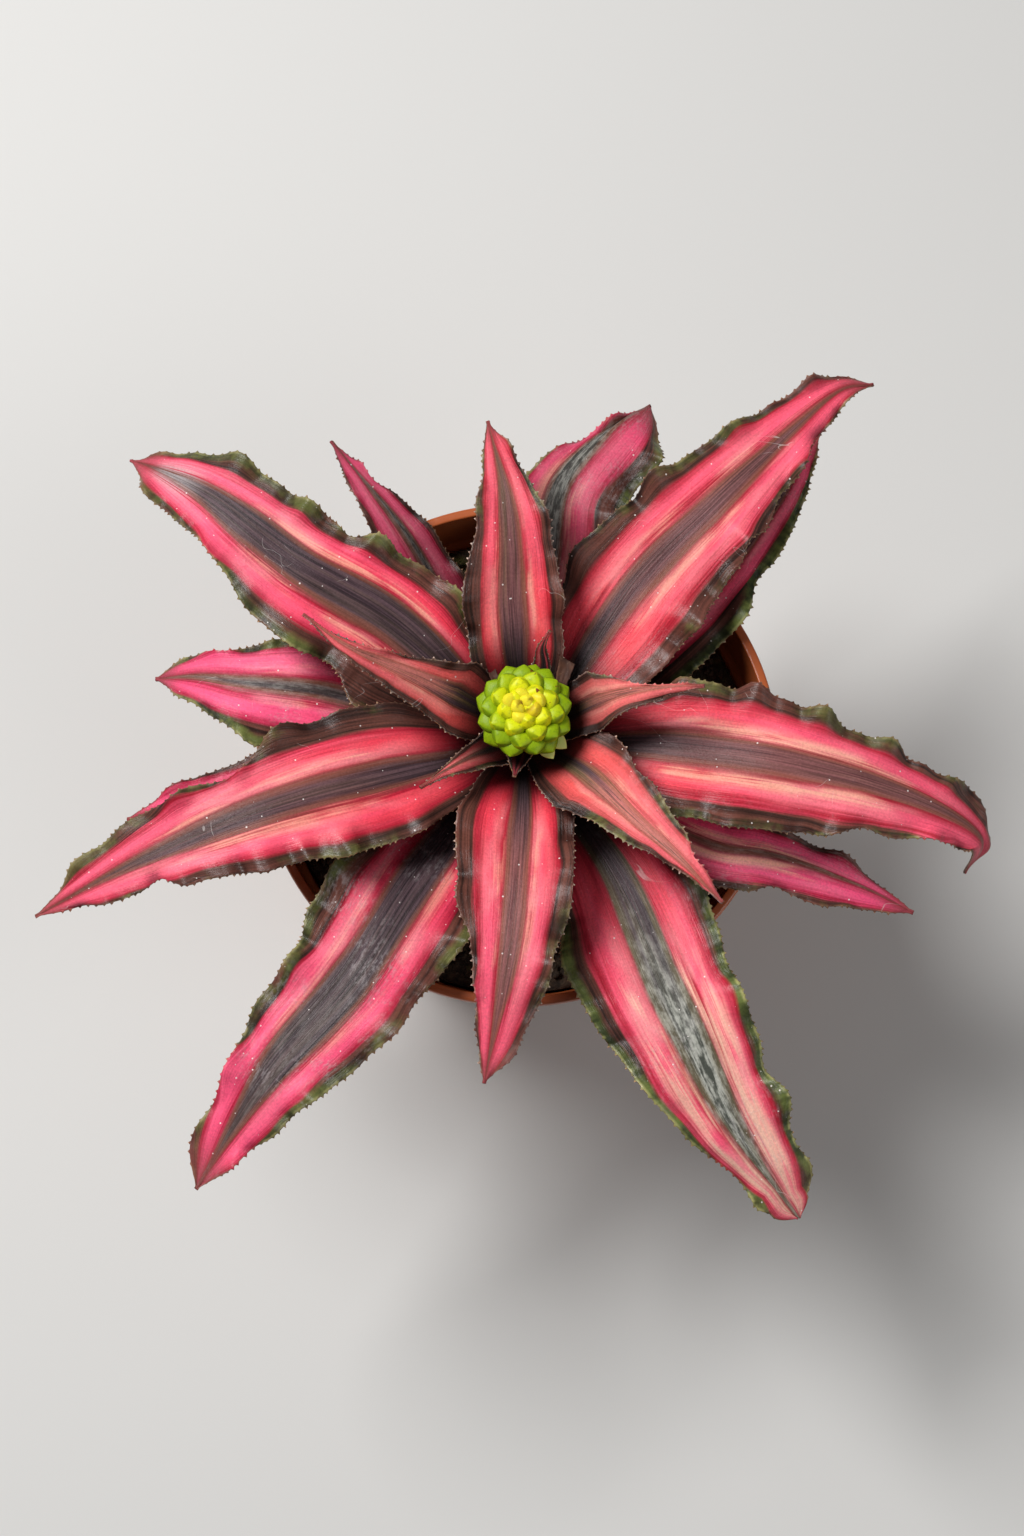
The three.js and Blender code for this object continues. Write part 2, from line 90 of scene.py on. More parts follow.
SWELL = 0.6             # height of the slow swelling of a blade's face, and its length
SWELL_LENGTH = 15
LEAF_SEED = 100

# One blade each, oldest first. heading is in degrees from +X towards +Y. Every spine point after the
# root is (out, aside, up) from the stem's axis. left and right are (widest half width, fullness
# towards the tip, waves along the margin, phase of the first wave in turns, then any bays), as seen
# looking out from the stem. A bay is a hollow in the margin, (middle, spread, depth), in shares of the
# length, of the length and of the half width; a negative depth is a lobe. bands are the shares of the
# half width at which the pale stripes start and end, left then right. tone runs from coral, 0, to
# magenta, 1. shade is the reach from the stem's axis, in millimetres, out to which the blade is darkened
# with painted shade, and the factor after it, where one is given, darkens a blade that lies under others
# as painted shadow. Every other key is the amount of that mark.
LEAVES = [
    dict(name="leaf_low_west", heading=-169, widest=0.45, lift=0.8,
         left=(11, 2, 4.2, 0.1), right=(12, 2, 4.6, 0.3),
         spine=[(34, 1, 94), (60, 3, 98), (80, 1, 97), (93, 0, 93)],
         bands=(0.25, 0.7, 0.2, 0.85), tone=0.9, cream=0.2, green=0.2, scurf=0.5, shade=56),
    dict(name="leaf_low_back_right", heading=47, widest=0.38, lift=1.2,
         left=(12, 1.8, 4.2, 0.2), right=(12.4, 1.7, 4.7, 0.83, (0.6, 0.05, 0.22), (0.73, 0.05, 0.16)),
         spine=[(38, -5, 96), (58, -6, 99), (82, -4, 98), (104, 1, 93)],
         bands=(0.25, 0.7, 0.22, 0.6), tone=0.75, cream=0.3, green=1.3, scurf=0.6, brown=0.2, shade=46),
    dict(name="leaf_low_left", heading=168, widest=0.48, lift=1,
         left=(15, 1.8, 4.7, 0, (0.66, 0.04, -0.2)),
         right=(12, 1.8, 3.6, 0.31, (0.79, 0.05, 0.2), (0.93, 0.04, -0.5)),
         spine=[(43, -2, 98), (65, 0, 99), (77, 0, 95), (88, 1, 88)],
         bands=(0.22, 0.75, 0.17, 0.8), tone=1.0, cream=0.25, green=0.8, scurf=0.7, silver=0.3, shade=52),
    dict(name="leaf_low_right", heading=-24, widest=0.48, lift=1,
         left=(9, 1.9, 4.6, 0.64), right=(8, 2.8, 5.8, 0.84, (0.65, 0.05, 0.26)),
         spine=[(44, -7, 97), (63, -4, 99), (82, -1, 96), (97, 0, 92)],
         bands=(0.3, 0.8, -0.08, 0.75), tone=1.0, cream=0.85, green=0.2, scurf=1.0, silver=0.4, shade=44),
    dict(name="leaf_low_back_left", heading=122, widest=0.4, lift=0.8,
         left=(8, 1.9, 3.6, 0.3, (0.8, 0.04, 0.2)), right=(7.6, 1.5, 4.1, 0.7, (0.83, 0.05, 0.4)),
         spine=[(44, -2, 96.5), (57, -2, 100), (70, -1, 101), (86, 0, 98)],
         bands=(0.1, 0.75, 0.3, 0.85), tone=0.9, cream=0.1, green=0.2, scurf=0.8, silver=0.4,
         shade=70, painted_shadow_factor=0.6),
    dict(name="leaf_low_back", heading=78, widest=0.5, lift=1.8,
         left=(12.5, 1, 3.5, 0.2, (0.87, 0.1, 0.6)), right=(15, 6.5, 3.7, 0.1),
         spine=[(44, 2, 99), (60, 3, 103), (76, -4, 102), (87, -12, 96)],
         bands=(0.45, 0.95, 0.1, 0.55), tone=0.8, cream=0.5, green=0.9, scurf=1.0, silver=0.7,
         shade=56, painted_shadow_factor=0.72),
    dict(name="leaf_front_right", heading=-61, widest=0.45, lift=2, tip=4.6, straw=1.0, silver=1.0, olive=0.5,
         left=(14, 4.4, 4.8, 0.48, (0.57, 0.06, 0.14), (0.72, 0.05, 0.12), (0.95, 0.04, -0.6)),
         right=(21, 1.7, 3.8, 0.6, (0.71, 0.07, 0.15), (0.84, 0.05, 0.18), (0.95, 0.035, -0.6)),
         spine=[(38, 4, 101), (71, 0, 107), (100, -3, 105), (125, 0, 96)],
         bands=(0.17, 0.72, 0.3, 0.74), tone=0.55, cream=0.7, green=1.1, scurf=0.8, shade=50),
    dict(name="leaf_front_left", heading=-125, widest=0.32, lift=2,
         left=(16.4, 2.9, 5.5, 0.19, (0.56, 0.12, 0.1), (0.75, 0.05, 0.18), (0.9, 0.04, 0.2)),
         right=(16.6, 3.3, 4.9, 0.42, (0.45, 0.06, -0.08), (0.58, 0.07, 0.15), (0.785, 0.08, 0.32),
                (0.95, 0.05, -0.55)),
         spine=[(41, 0, 102), (70, 2, 106), (98, -1, 103), (126, -1, 94)],
         bands=(0.28, 0.7, 0.36, 0.74), tone=0.8, cream=0.3, green=0.6, scurf=0.9, silver=0.1, shade=42),
    dict(name="leaf_back_right", heading=46, widest=0.3, lift=2,
         left=(13.7, 2.6, 5.4, 0.5, (0.7, 0.04, 0.15), (0.95, 0.03, -0.4)),
         right=(19.3, 1.5, 5.1, 0.42, (0.55, 0.03, 0.2), (0.66, 0.04, 0.14), (0.78, 0.055, 0.3)),
         spine=[(42, 7, 106), (68, 6, 111), (94, 5, 110), (110, 4, 107), (118, 0, 104)],
         bands=(0.17, 0.68, 0.27, 0.74), tone=0.45, cream=0.45, green=0.4, scurf=0.3, brown=0.5, shade=34),
    dict(name="leaf_back_left", heading=144, widest=0.33, lift=2,
         left=(18.2, 2.4, 4.6, 0.03, (0.25, 0.07, -0.28), (0.7, 0.08, 0.27), (0.9, 0.06, -0.15)),
         right=(13.8, 3.4, 5.9, 0.74, (0.47, 0.05, 0.17), (0.6, 0.04, 0.13), (0.83, 0.06, -0.12)),
         spine=[(38, -4, 106), (65, -1, 111), (93, -2, 109), (114, 0, 101)],
         bands=(0.33, 0.73, 0.3, 0.66), tone=0.6, cream=0.6, green=0.55, scurf=0.5, shade=32,
         tip_scurf=1.0),
    dict(name="leaf_right", heading=-13, widest=0.33, lift=1.9,
         left=(14.6, 1.6, 7.6, 0.21, (0.58, 0.08, 0.08), (0.855, 0.035, -0.85)),
         right=(18.4, 2.4, 5, 0.21, (0.65, 0.07, 0.23), (0.81, 0.06, 0.3)),
         spine=[(35, 4, 109), (62, 5, 113), (90, 4, 108), (106, 0, 100), (105, -7, 93)],
         bands=(0.2, 0.7, 0.28, 0.71), tone=0.5, cream=0.7, green=0.45, scurf=0.5, brown=0.7, shade=32),
    dict(name="leaf_left", heading=-159, widest=0.32, lift=1.8,
         left=(20.2, 1.5, 6.4, 0.82, (0.745, 0.035, 0.22)),
         right=(13.6, 2.2, 4.6, 0.23, (0.53, 0.075, 0.44), (0.66, 0.055, 0.36)),
         spine=[(34, -4, 109), (59, -5, 113), (86, -4, 109), (118, 0, 101)],
         bands=(0.38, 0.8, 0.04, 0.56), tone=0.55, cream=0.5, green=0.35, scurf=0.4, brown=0.2, shade=28),
    dict(name="leaf_mid_back", heading=97, widest=0.27, lift=1.1,
         left=(11.6, 2.1, 3.1, 0.97, (0.66, 0.12, 0.1), (0.8, 0.06, 0.15)), right=(11.2, 2, 3.9, 0.7),
         spine=[(29, -1, 113), (40, -2, 119), (52, -2, 122), (69, 0, 122)],
         bands=(0.3, 0.69, 0.26, 0.78), tone=0.25, cream=0.3, green=0.25, scurf=0.2, olive=0.4,
         brown=0.6, shade=26),
    dict(name="leaf_mid_front", heading=-97, widest=0.3, lift=1.1,
         left=(13.8, 2.7, 3.6, 0.82, (0.38, 0.06, 0.08), (0.64, 0.06, 0.13), (0.91, 0.05, -0.25)),
         right=(13.4, 1.6, 4.2, 0.1, (0.67, 0.05, 0.14), (0.6, 0.04, 0.15), (0.76, 0.06, 0.3)),
         spine=[(25, 1, 112), (42, 2, 117), (60, 2, 117), (82, 1, 110)],
         bands=(0.29, 0.7, 0.17, 0.7), tone=0.5, cream=0.3, green=0.1, scurf=0.2, brown=1.0, shade=24),
    dict(name="leaf_inner_left", heading=157, widest=0.26, lift=0.6,
         left=(9, 0.85, 2.2, 0.1), right=(9.2, 0.55, 2.7, 0.5, (0.65, 0.12, 0.25)),
         spine=[(21, 1, 115), (31, 2.2, 122), (42, 3.3, 128), (53, 1, 130)],
         bands=(0.28, 0.75, 0.35, 0.75), tone=0.05, cream=0.5, green=0.2, scurf=0.1, olive=0.9,
         dusty=0.25, fade=0.9),
    dict(name="leaf_inner_front", heading=-48, widest=0.3, lift=0.7,
         left=(10.8, 1.5, 2.6, 0.2, (0.25, 0.05, -0.14), (0.4, 0.05, 0.15), (0.81, 0.06, 0.35)),
         right=(10, 0.6, 3.1, 0.6),
         spine=[(19, 1, 114), (34, 0.6, 121), (48, 1.2, 126), (62, 1.6, 128)],
         bands=(0.3, 0.8, 0.15, 0.65), tone=0.15, cream=0.4, green=0.3, scurf=0.1, olive=0.7,
         dusty=0.25, fade=0.75),
    dict(name="leaf_inner_right", heading=7, widest=0.36, lift=0.4,
         left=(7.4, 0.6, 2, 0.3, (0.68, 0.17, 0.65)), right=(6.8, 0.8, 2.2, 0.1),
         spine=[(17, 2, 115), (27, 1.6, 122), (39.8, -1, 128)],
         bands=(0.25, 0.72, 0.22, 0.7), tone=0.0, cream=0.5, green=0.2, scurf=0.1, olive=0.8,
         dusty=0.45, fade=0.85, shade=22),
    dict(name="leaf_heart_front", heading=-141, widest=0.12, lift=0.2, root=5.6,
         left=(6.2, 0.85, 1.2, 0.1), right=(5.6, 0.55, 1.3, 0.5),
         spine=[(15, -1, 114), (22, -1, 118.5), (29, -1, 121)],
         bands=(0.2, 0.7, 0.2, 0.7), tone=0.1, cream=0.3, green=0.2, scurf=0.1, olive=0.8,
         dusty=0.3, fade=0.3, shade=22),
    dict(name="leaf_heart_back", heading=73, widest=0.12, lift=0.1, root=3.7,
         left=(3.9, 0.9, 1, 0.1), right=(3.9, 0.9, 1, 0.4),
         spine=[(13, 0, 115), (16, 1, 119), (19, 0, 123)],
         bands=(0.1, 0.8, 0.5, 0.7), tone=0.1, cream=0.2, green=0.4, scurf=0.1),
    dict(name="leaf_heart_low", heading=-100, widest=0.1, lift=0.1, root=3.4,
         left=(3.5, 1, 1, 0.2), right=(3.5, 1, 1, 0.6),
         spine=[(10, 0, 113), (14, 0, 116)],
         bands=(0.2, 0.6, 0.2, 0.6), tone=0.1, cream=0.0, green=0.3, scurf=0.1),
]

FIRST_INNER_LEAF = 12

DRY_BRACT_ROOT = 110.6
DRY_BRACTS = [
    dict(name="dry_bract_right", heading=34, root=0.7, tip=2.0,
         spine=[(9, 0.8, 112.4), (13, 3.6, 113.6), (16, 6, 114)]),
    dict(name="dry_bract_left", heading=123, root=0.8, tip=0.9,
         spine=[(9, 0, 112), (11.5, 0.5, 115), (13.4, 0, 114)]),
]

HEAD_BASE = 111.8
HEAD_CORE_RADIUS = 8.8
HEAD_CORE_HEIGHT = 9.6
HEAD_LEAN = 1.2         # the head's axis stands this far behind the stem's
HEAD_BRACTS = 34
BRACT_HALF_SIZE = Vector((2.5, 3.0, 3.8))  # through the bract, across it and along it
BRACT_SIZES = (0.75, 1.05)
BRACT_SEAT = 0.86
BRACT_LIFT = math.radians(14)
LOWEST_BRACT = math.radians(100)
GOLDEN_ANGLE = math.radians(137.508)
PALE_BRACTS = ((104, -42), (106, -60))  # angle down from the crown and turn, in degrees
PALE_BRACT_HALF_SIZE = Vector((1.0, 1.9, 3.4))
PALE_BRACT_SEAT = 1.05
HEAD_SEED = 46
CORE_GIRTH = 0.93       # the core within the scales, as shares of its full radius and height
CORE_RISE = 0.46
FLORET_SPREAD = 0.42
FLORET_SEAT = 1.03
FLORET_FULLNESS = 3.2
# ripeness is 0 to 1 from the crown to the lowest scales, below 0 on a floret, and this on a pale bract
PALE = 2.0


# ---------------------------------------------------------------- small sums

def lerp(a, b, share):
    return a + (b - a) * share


def lerp_colour(a, b, share):
    return tuple(lerp(x, y, share) for x, y in zip(a, b))


def ease(value, low, high):
    """0 below low, 1 above high and a smooth step between."""
    share = min(1.0, max(0.0, (value - low) / (high - low)))
    return share * share * (3 - 2 * share)


def ripple(*place):
    """Smooth noise from -1 to 1."""
    return noise.noise(Vector(place), noise_basis="PERLIN_ORIGINAL")


# ---------------------------------------------------------------- materials

class Finish:
    """The nodes of one material, added and linked as they are needed."""

    def __init__(self, name):
        self.material = bpy.data.materials.new(name)
        self.material.use_nodes = True
        self.tree = self.material.node_tree
        self.surface = self.tree.nodes["Principled BSDF"]

    def add(self, kind, **settings):
        node = self.tree.nodes.new("ShaderNode" + kind)
        for key, value in settings.items():
            setattr(node, key, value)
        return node

    def feed(self, socket, value):
        if isinstance(value, bpy.types.NodeSocket):
            self.tree.links.new(value, socket)
        elif socket.type == "RGBA" and len(value) == 3:
            socket.default_value = (*value, 1)
        else:
            socket.default_value = value

    def set(self, **values):
        """Values or links for the shader's own sockets, such as base_color or roughness."""
        for key, value in values.items():
            words = key.replace("_", " ").title().replace("Ior", "IOR")
            self.feed(self.surface.inputs[words], value)

    def sum(self, operation, a, b=0.0, c=0.0):
        node = self.add("Math", operation=operation)
        for socket, value in zip(node.inputs, (a, b, c)):
            self.feed(socket, value)
        return node.outputs[0]

    def times(self, first, *others):
        """The product of all of them."""
        for other in others:
            first = self.sum("MULTIPLY", first, other)
        return first

    def scaled(self, value, factor, offset):
        return self.sum("MULTIPLY_ADD", value, factor, offset)

    def step(self, value, low, high):
        """0 at low and 1 at high, smooth between; low may be the larger."""
        node = self.add("MapRange", interpolation_type="SMOOTHSTEP")
        for socket, part in zip(node.inputs, (value, low, high, 0.0, 1.0)):
            self.feed(socket, part)
        return node.outputs[0]

    def mix(self, share, a, b, blend="MIX"):
        node = self.add("Mix", data_type="RGBA", blend_type=blend)
        self.feed(node.inputs[0], share)
        self.feed(node.inputs[6], a)
        self.feed(node.inputs[7], b)
        return node.outputs[2]

    def join(self, x, y, z=0.0):
        node = self.add("CombineXYZ")
        for socket, value in zip(node.inputs, (x, y, z)):
            self.feed(socket, value)
        return node.outputs[0]

    def split(self, vector):
        node = self.add("SeparateXYZ")
        self.feed(node.inputs[0], vector)
        return node.outputs

    def noise(self, place, scale=1.0, detail=2.0, roughness=0.5, distortion=0.0):
        node = self.add("TexNoise")
        self.feed(node.inputs["Vector"], place)
        node.inputs["Scale"].default_value = scale
        node.inputs["Detail"].default_value = detail
        node.inputs["Roughness"].default_value = roughness
        node.inputs["Distortion"].default_value = distortion
        return node.outputs[0]

    def cells(self, place, scale, output="Distance"):
        node = self.add("TexVoronoi")
        self.feed(node.inputs["Vector"], place)
        node.inputs["Scale"].default_value = scale
        return node.outputs[output]

    def object_place(self):
        return self.add("TexCoord").outputs["Object"]

    def uv(self, name):
        return self.add("UVMap", uv_map=name).outputs[0]

    def attribute(self, name):
        return self.add("Attribute", attribute_name=name).outputs["Fac"]

    def bump(self, height, distance):
        """Relief of that height in metres."""
        node = self.add("Bump")
        node.inputs["Strength"].default_value = 1.0
        node.inputs["Distance"].default_value = distance
        self.feed(node.inputs["Height"], height)
        self.feed(self.surface.inputs["Normal"], node.outputs[0])


def leaf_top_finish(leaf, order, colours):
    """The upper face: a dark middle, two pale stripes, dark margins with green crests, scurf, and painted
    shade.
    """
    f = Finish(leaf["name"] + "_upper")
    seed = 10.0 * order
    t, v, _ = f.split(f.uv("blade"))
    across = f.scaled(v, 2.0, -1.0)
    place = f.object_place()
    rim = f.attribute("rim")
    crest = f.attribute("crest")
    tone, cream, green = leaf["tone"], leaf["cream"], leaf["green"]
    straw = leaf.get("straw", 0.0)

    def streaks(along, side, offset, detail=3.0, roughness=0.6):
        """Noise drawn out along the blade."""
        grid = f.join(f.times(t, along), f.times(across, side), seed + offset)
        return f.noise(grid, 1.0, detail, roughness)

    def toned(warm, cold):
        return lerp_colour(warm, cold, tone)

    # the stripes wander a little and their edges feather into long streaks
    drift = streaks(3.5, 1.0, 0.0, 1.0)
    streak = streaks(1.8, 9.0, 3.1, 4.0)
    fine = streaks(5.0, 34.0, 5.3)
    shift = f.scaled(drift, 0.18, -0.09)
    shift = f.sum("ADD", shift, f.scaled(streak, 0.14, -0.07))
    shift = f.sum("ADD", shift, f.scaled(fine, 0.08, -0.04))
    left = f.sum("ADD", across, shift)
    right = f.times(left, -1.0)
    narrowing = f.scaled(f.step(t, 0.65, 1.0), -0.5, 1.0)
    spread = f.times(f.step(t, 0.7, 1.0), 0.2)

    def stripe(side, inner, outer):
        low = f.times(narrowing, inner)
        high = f.sum("ADD", spread, outer)
        share = f.sum("DIVIDE", f.sum("SUBTRACT", side, low), f.sum("SUBTRACT", high, low))
        rise = f.step(share, -0.1, 0.09)
        fall = f.step(share, 1.1, 0.93)
        # the heart of the stripe, and the rusty line that borders it on the side of the midrib
        heart = f.times(f.step(share, 0.0, 0.45), f.step(share, 1.0, 0.5))
        line = f.times(f.step(share, -0.3, -0.08), f.step(share, 0.08, -0.08))
        creamy = f.times(f.step(share, -0.05, 0.14), f.step(share, 0.55 + 0.3 * straw, 0.2 + 0.35 * straw))
        return f.times(rise, fall), heart, line, creamy

    bands = leaf["bands"]
    both = zip(stripe(left, bands[0], bands[1]), stripe(right, bands[2], bands[3]))
    pale, heart, line, creamy = (f.sum("MAXIMUM", a, b) for a, b in both)

    # a stripe is crimson at its edges and root, pink along its heart, with peach and cream patches
    outward = f.step(f.scaled(streak, 0.5, t), 0.35, 0.95)
    pink = f.mix(outward, toned(colours.red, colours.rose), toned(colours.coral, colours.magenta))
    deep = toned(colours.crimson, colours.dark_magenta)
    lively = f.scaled(fine, 1.5, f.times(streak, 1.1))
    lively = f.scaled(heart, 0.95, f.sum("SUBTRACT", lively, 1.16))
    stripe_colour = f.mix(lively, deep, pink)
    band = f.times(f.step(t, 0.08, 0.3), f.step(t, 0.98, 0.6))
    if straw:
        band = f.step(t, 0.2, 0.62)
    soft = f.scaled(creamy, 0.7, f.times(heart, 0.5))
    blush = f.times(f.step(streaks(4.5, 2.2, 11.3, 2.0), 0.42, 0.62), f.times(soft, band))
    blush = f.times(blush, 0.45 + 0.4 * cream)
    stripe_colour = f.mix(blush, stripe_colour, toned(colours.peach, colours.blush))
    patches = f.scaled(streaks(6.0, 3.5, 9.7, 2.0), 0.75, f.times(fine, 0.3))
    cream_at = f.step(f.times(patches, band), 0.54 - 0.2 * cream, 0.72 - 0.22 * cream)
    cream_share = f.times(f.times(cream_at, creamy), min(1.0, 0.2 + 0.65 * cream))
    cream_share = f.times(cream_share, f.step(f.scaled(fine, 0.8, streak), 0.55, 0.98))
    cream_colour = lerp_colour(colours.cream, colours.straw, straw)
    stripe_colour = f.mix(cream_share, stripe_colour, cream_colour)
    stripe_colour = f.mix(leaf.get("dusty", 0.0), stripe_colour, colours.dusty)

    # the middle: charcoal, greyer where it is scurfy, with long olive and rusty lines
    middle = f.mix(f.step(fine, 0.34, 0.68), colours.charcoal, colours.purple_brown)
    browned = f.mix(f.step(fine, 0.3, 0.7), colours.umber, colours.red_brown)
    middle = f.mix(f.times(f.step(t, 0.12, 0.42), leaf.get("brown", 0.0)), middle, browned)
    olive_lines = f.times(f.step(streak, 0.42, 0.66), leaf.get("olive", 0.12))
    middle = f.mix(olive_lines, middle, colours.olive)
    silver = f.times(f.step(f.scaled(streak, 0.4, t), 0.45, 0.85), leaf.get("silver", 0.0))
    crackle = f.step(f.scaled(streaks(24.0, 10.0, 21.1, 3.0, 0.7), 0.7, f.times(fine, 0.3)), 0.42, 0.6)
    middle = f.mix(silver, middle, f.mix(crackle, colours.grey_green, colours.silver))
    faded = f.times(f.step(f.scaled(streak, 0.3, t), 0.36, 0.6), leaf.get("fade", 0.0))
    faded = f.times(faded, f.step(fine, 0.3, 0.55))
    middle = f.mix(faded, middle, colours.dusty)
    middle = f.mix(f.times(line, 0.45), middle, lerp_colour(colours.rust, colours.olive, straw))

    # the margins: dark, and along stretches of them a mottled green band that crosses in wrinkles
    margin = f.mix(f.step(f.scaled(fine, 0.5, streak), 0.55, 0.95),
                   colours.margin_dark, colours.margin_brown)
    patch = f.noise(place, 120.0, 3.0, 0.65)
    stretch = f.scaled(streaks(5.0, 0.8, 13.1, 2.0), 0.8, f.times(patch, 0.35))
    stretch = f.scaled(f.step(t, 0.12, 0.5), 0.1, stretch)
    band_width = f.scaled(patch, 3.4, 1.2)
    green_share = f.times(f.step(stretch, 0.74 - 0.27 * green, 0.84 - 0.24 * green),
                        f.step(rim, band_width, f.times(band_width, 0.45)))
    wrinkle = streaks(48.0, 2.5, 15.7, 2.0, 0.6)
    mottle = f.scaled(wrinkle, 0.8, f.times(patch, 0.5))
    # the green is lighter on the margin's crests as painted light
    mottle = f.scaled(crest, 0.08, mottle)
    moss = f.mix(f.step(mottle, 0.45, 0.95), colours.dark_green, colours.green)
    # a pale green line along the edge, in stretches, as painted highlight
    moss = f.mix(f.times(f.step(rim, 0.8, 0.2), f.step(wrinkle, 0.35, 0.6)), moss, colours.green_edge)
    margin = f.mix(f.times(green_share, min(1.0, 0.35 + 0.65 * green)), margin, moss)

    inside = f.step(f.sum("ABSOLUTE", across), 0.5, 0.6)
    colour = f.mix(pale, f.mix(inside, middle, margin), stripe_colour)

    # the tip dries to a brownish point
    tip = f.step(f.scaled(streak, 0.08, t), 0.92, 1.03)
    colour = f.mix(f.times(tip, 0.8 - 0.6 * straw), colour, colours.tip)

    # silvery scurf in cross bands, thin scratches, pale specks and a fine grain
    scurf = leaf["scurf"]
    worn = f.times(f.step(t, 0.78, 0.87), f.step(t, 0.95, 0.9))
    worn = f.times(f.times(worn, f.step(f.sum("ABSOLUTE", across), 0.7, 0.3)), f.step(fine, 0.35, 0.55))
    colour = f.mix(f.times(worn, 0.55 * leaf.get("tip_scurf", 0.0)), colour, colours.scurf)
    scurf_patch = f.step(f.noise(place, 70.0, 3.0, 0.6), 0.68 - 0.22 * scurf, 0.84 - 0.16 * scurf)
    scurf_grain = f.step(streaks(55.0, 16.0, 17.9, 4.0, 0.75), 0.45, 0.66)
    scurf_share = f.times(f.times(scurf_patch, scurf_grain), 0.06 + 0.3 * scurf)
    colour = f.mix(scurf_share, colour, colours.scurf)
    hair = f.sum("ABSOLUTE", f.sum("SUBTRACT", f.noise(place, 55.0, 2.0, 0.5, 1.0), 0.5))
    hair_here = f.step(f.noise(place, 80.0, 1.0), 0.62, 0.68)
    scratch = f.times(f.step(hair, 0.0022, 0.0007), hair_here)
    colour = f.mix(f.times(scratch, 0.3), colour, colours.speck)
    lot = f.split(f.cells(place, 560.0, output="Color"))[0]
    radius = f.times(f.step(lot, 0.5, 1.0), 0.15)
    speck = f.step(f.cells(place, 560.0), radius, f.times(radius, 0.5))
    colour = f.mix(f.times(f.times(speck, f.step(lot, 0.5, 0.6)), 0.75), colour, colours.speck)

    # painted shade: darker in the hollows between a margin's crests and under other blades, darkest round the
    # stem; with a fine grain and cloudy tone
    grain = f.scaled(f.noise(place, 1900.0, 1.0), 0.5, 0.75)
    # painted shade darkens the hollows between a margin's crests
    hollow = f.scaled(f.step(crest, -1.1, -0.1), 0.5, 0.5)
    shaded_to = leaf.get("shade", 20.0)
    # painted shade darkens each blade round the stem, out to its shade reach
    painted_stem_shade = f.scaled(f.step(f.attribute("reach"), 9.5 + 0.35 * (shaded_to - 20), shaded_to), 0.96, 0.04)
    cloud = f.scaled(f.noise(place, 45.0, 2.0), 0.5, 0.76)
    shade = f.times(f.times(grain, cloud), f.times(hollow, painted_stem_shade))
    # a blade that lies under others is darkened further as painted shadow
    shade = f.times(shade, leaf.get("painted_shadow_factor", 1.0))
    colour = f.mix(1.0, colour, f.join(shade, shade, shade), "MULTIPLY")

    # a thin edge, broken along its length, and a pale bead on every tooth
    edge = f.step(rim, 0.28, 0.08)
    edge_break = f.step(streaks(110.0, 1.0, 19.3, 2.0), 0.42, 0.6)
    edge_share = f.times(edge, f.scaled(edge_break, 0.2, 0.03))
    bead = f.times(f.step(f.attribute("tooth"), 0.35, 0.75), 0.9)
    edge_share = f.sum("MAXIMUM", edge_share, bead)
    colour = f.mix(edge_share, colour, leaf_edge_colour(order, colours))

    gloss = f.step(f.sum("ABSOLUTE", across), 0.55, 0.75)
    f.set(base_color=colour, specular_ior_level=f.scaled(gloss, 0.08, 0.17))
    f.set(roughness=f.scaled(gloss, -0.06, f.scaled(fine, 0.16, 0.3)))
    ribs = streaks(2.5, 60.0, 7.7, 2.0)
    relief = f.sum("ADD", ribs, f.times(scurf_grain, 0.3))
    f.bump(relief, 0.1 * MM)
    return f.material


def leaf_edge_colour(order, colours):
    """Inner blades have whitish teeth, outer ones tan."""
    paleness = 1.0 if order >= FIRST_INNER_LEAF else 0.25
    return lerp_colour(colours.tan_edge, colours.white_edge, paleness)


def leaf_under_finish(colours):
    """The lower face: brownish, with silvery scurf between its long lines."""
    f = Finish("leaf_lower")
    t, v, _ = f.split(f.uv("blade"))
    lines = f.noise(f.join(f.times(t, 4.0), f.times(v, 60.0)), 1.0, 3.0, 0.6)
    blotch = f.noise(f.object_place(), 60.0, 3.0)
    colour = f.mix(f.step(lines, 0.35, 0.7), colours.under_brown, colours.under_rose)
    colour = f.mix(f.times(f.step(blotch, 0.4, 0.75), 0.5), colour, colours.scurf)
    f.set(base_color=colour, roughness=0.55)
    f.bump(lines, 0.1 * MM)
    return f.material


def leaf_rim_finish(colours):
    """The cut edge between the two faces, tan with darker teeth."""
    f = Finish("leaf_rim")
    grain = f.noise(f.object_place(), 900.0, 2.0)
    bare = f.mix(f.step(grain, 0.4, 0.75), colours.rim_dark, colours.tan_edge)
    colour = f.mix(f.step(f.attribute("tooth"), 0.2, 0.5), bare, colours.tan_edge)
    f.set(base_color=colour, roughness=0.5)
    return f.material


# ---------------------------------------------------------------- blades

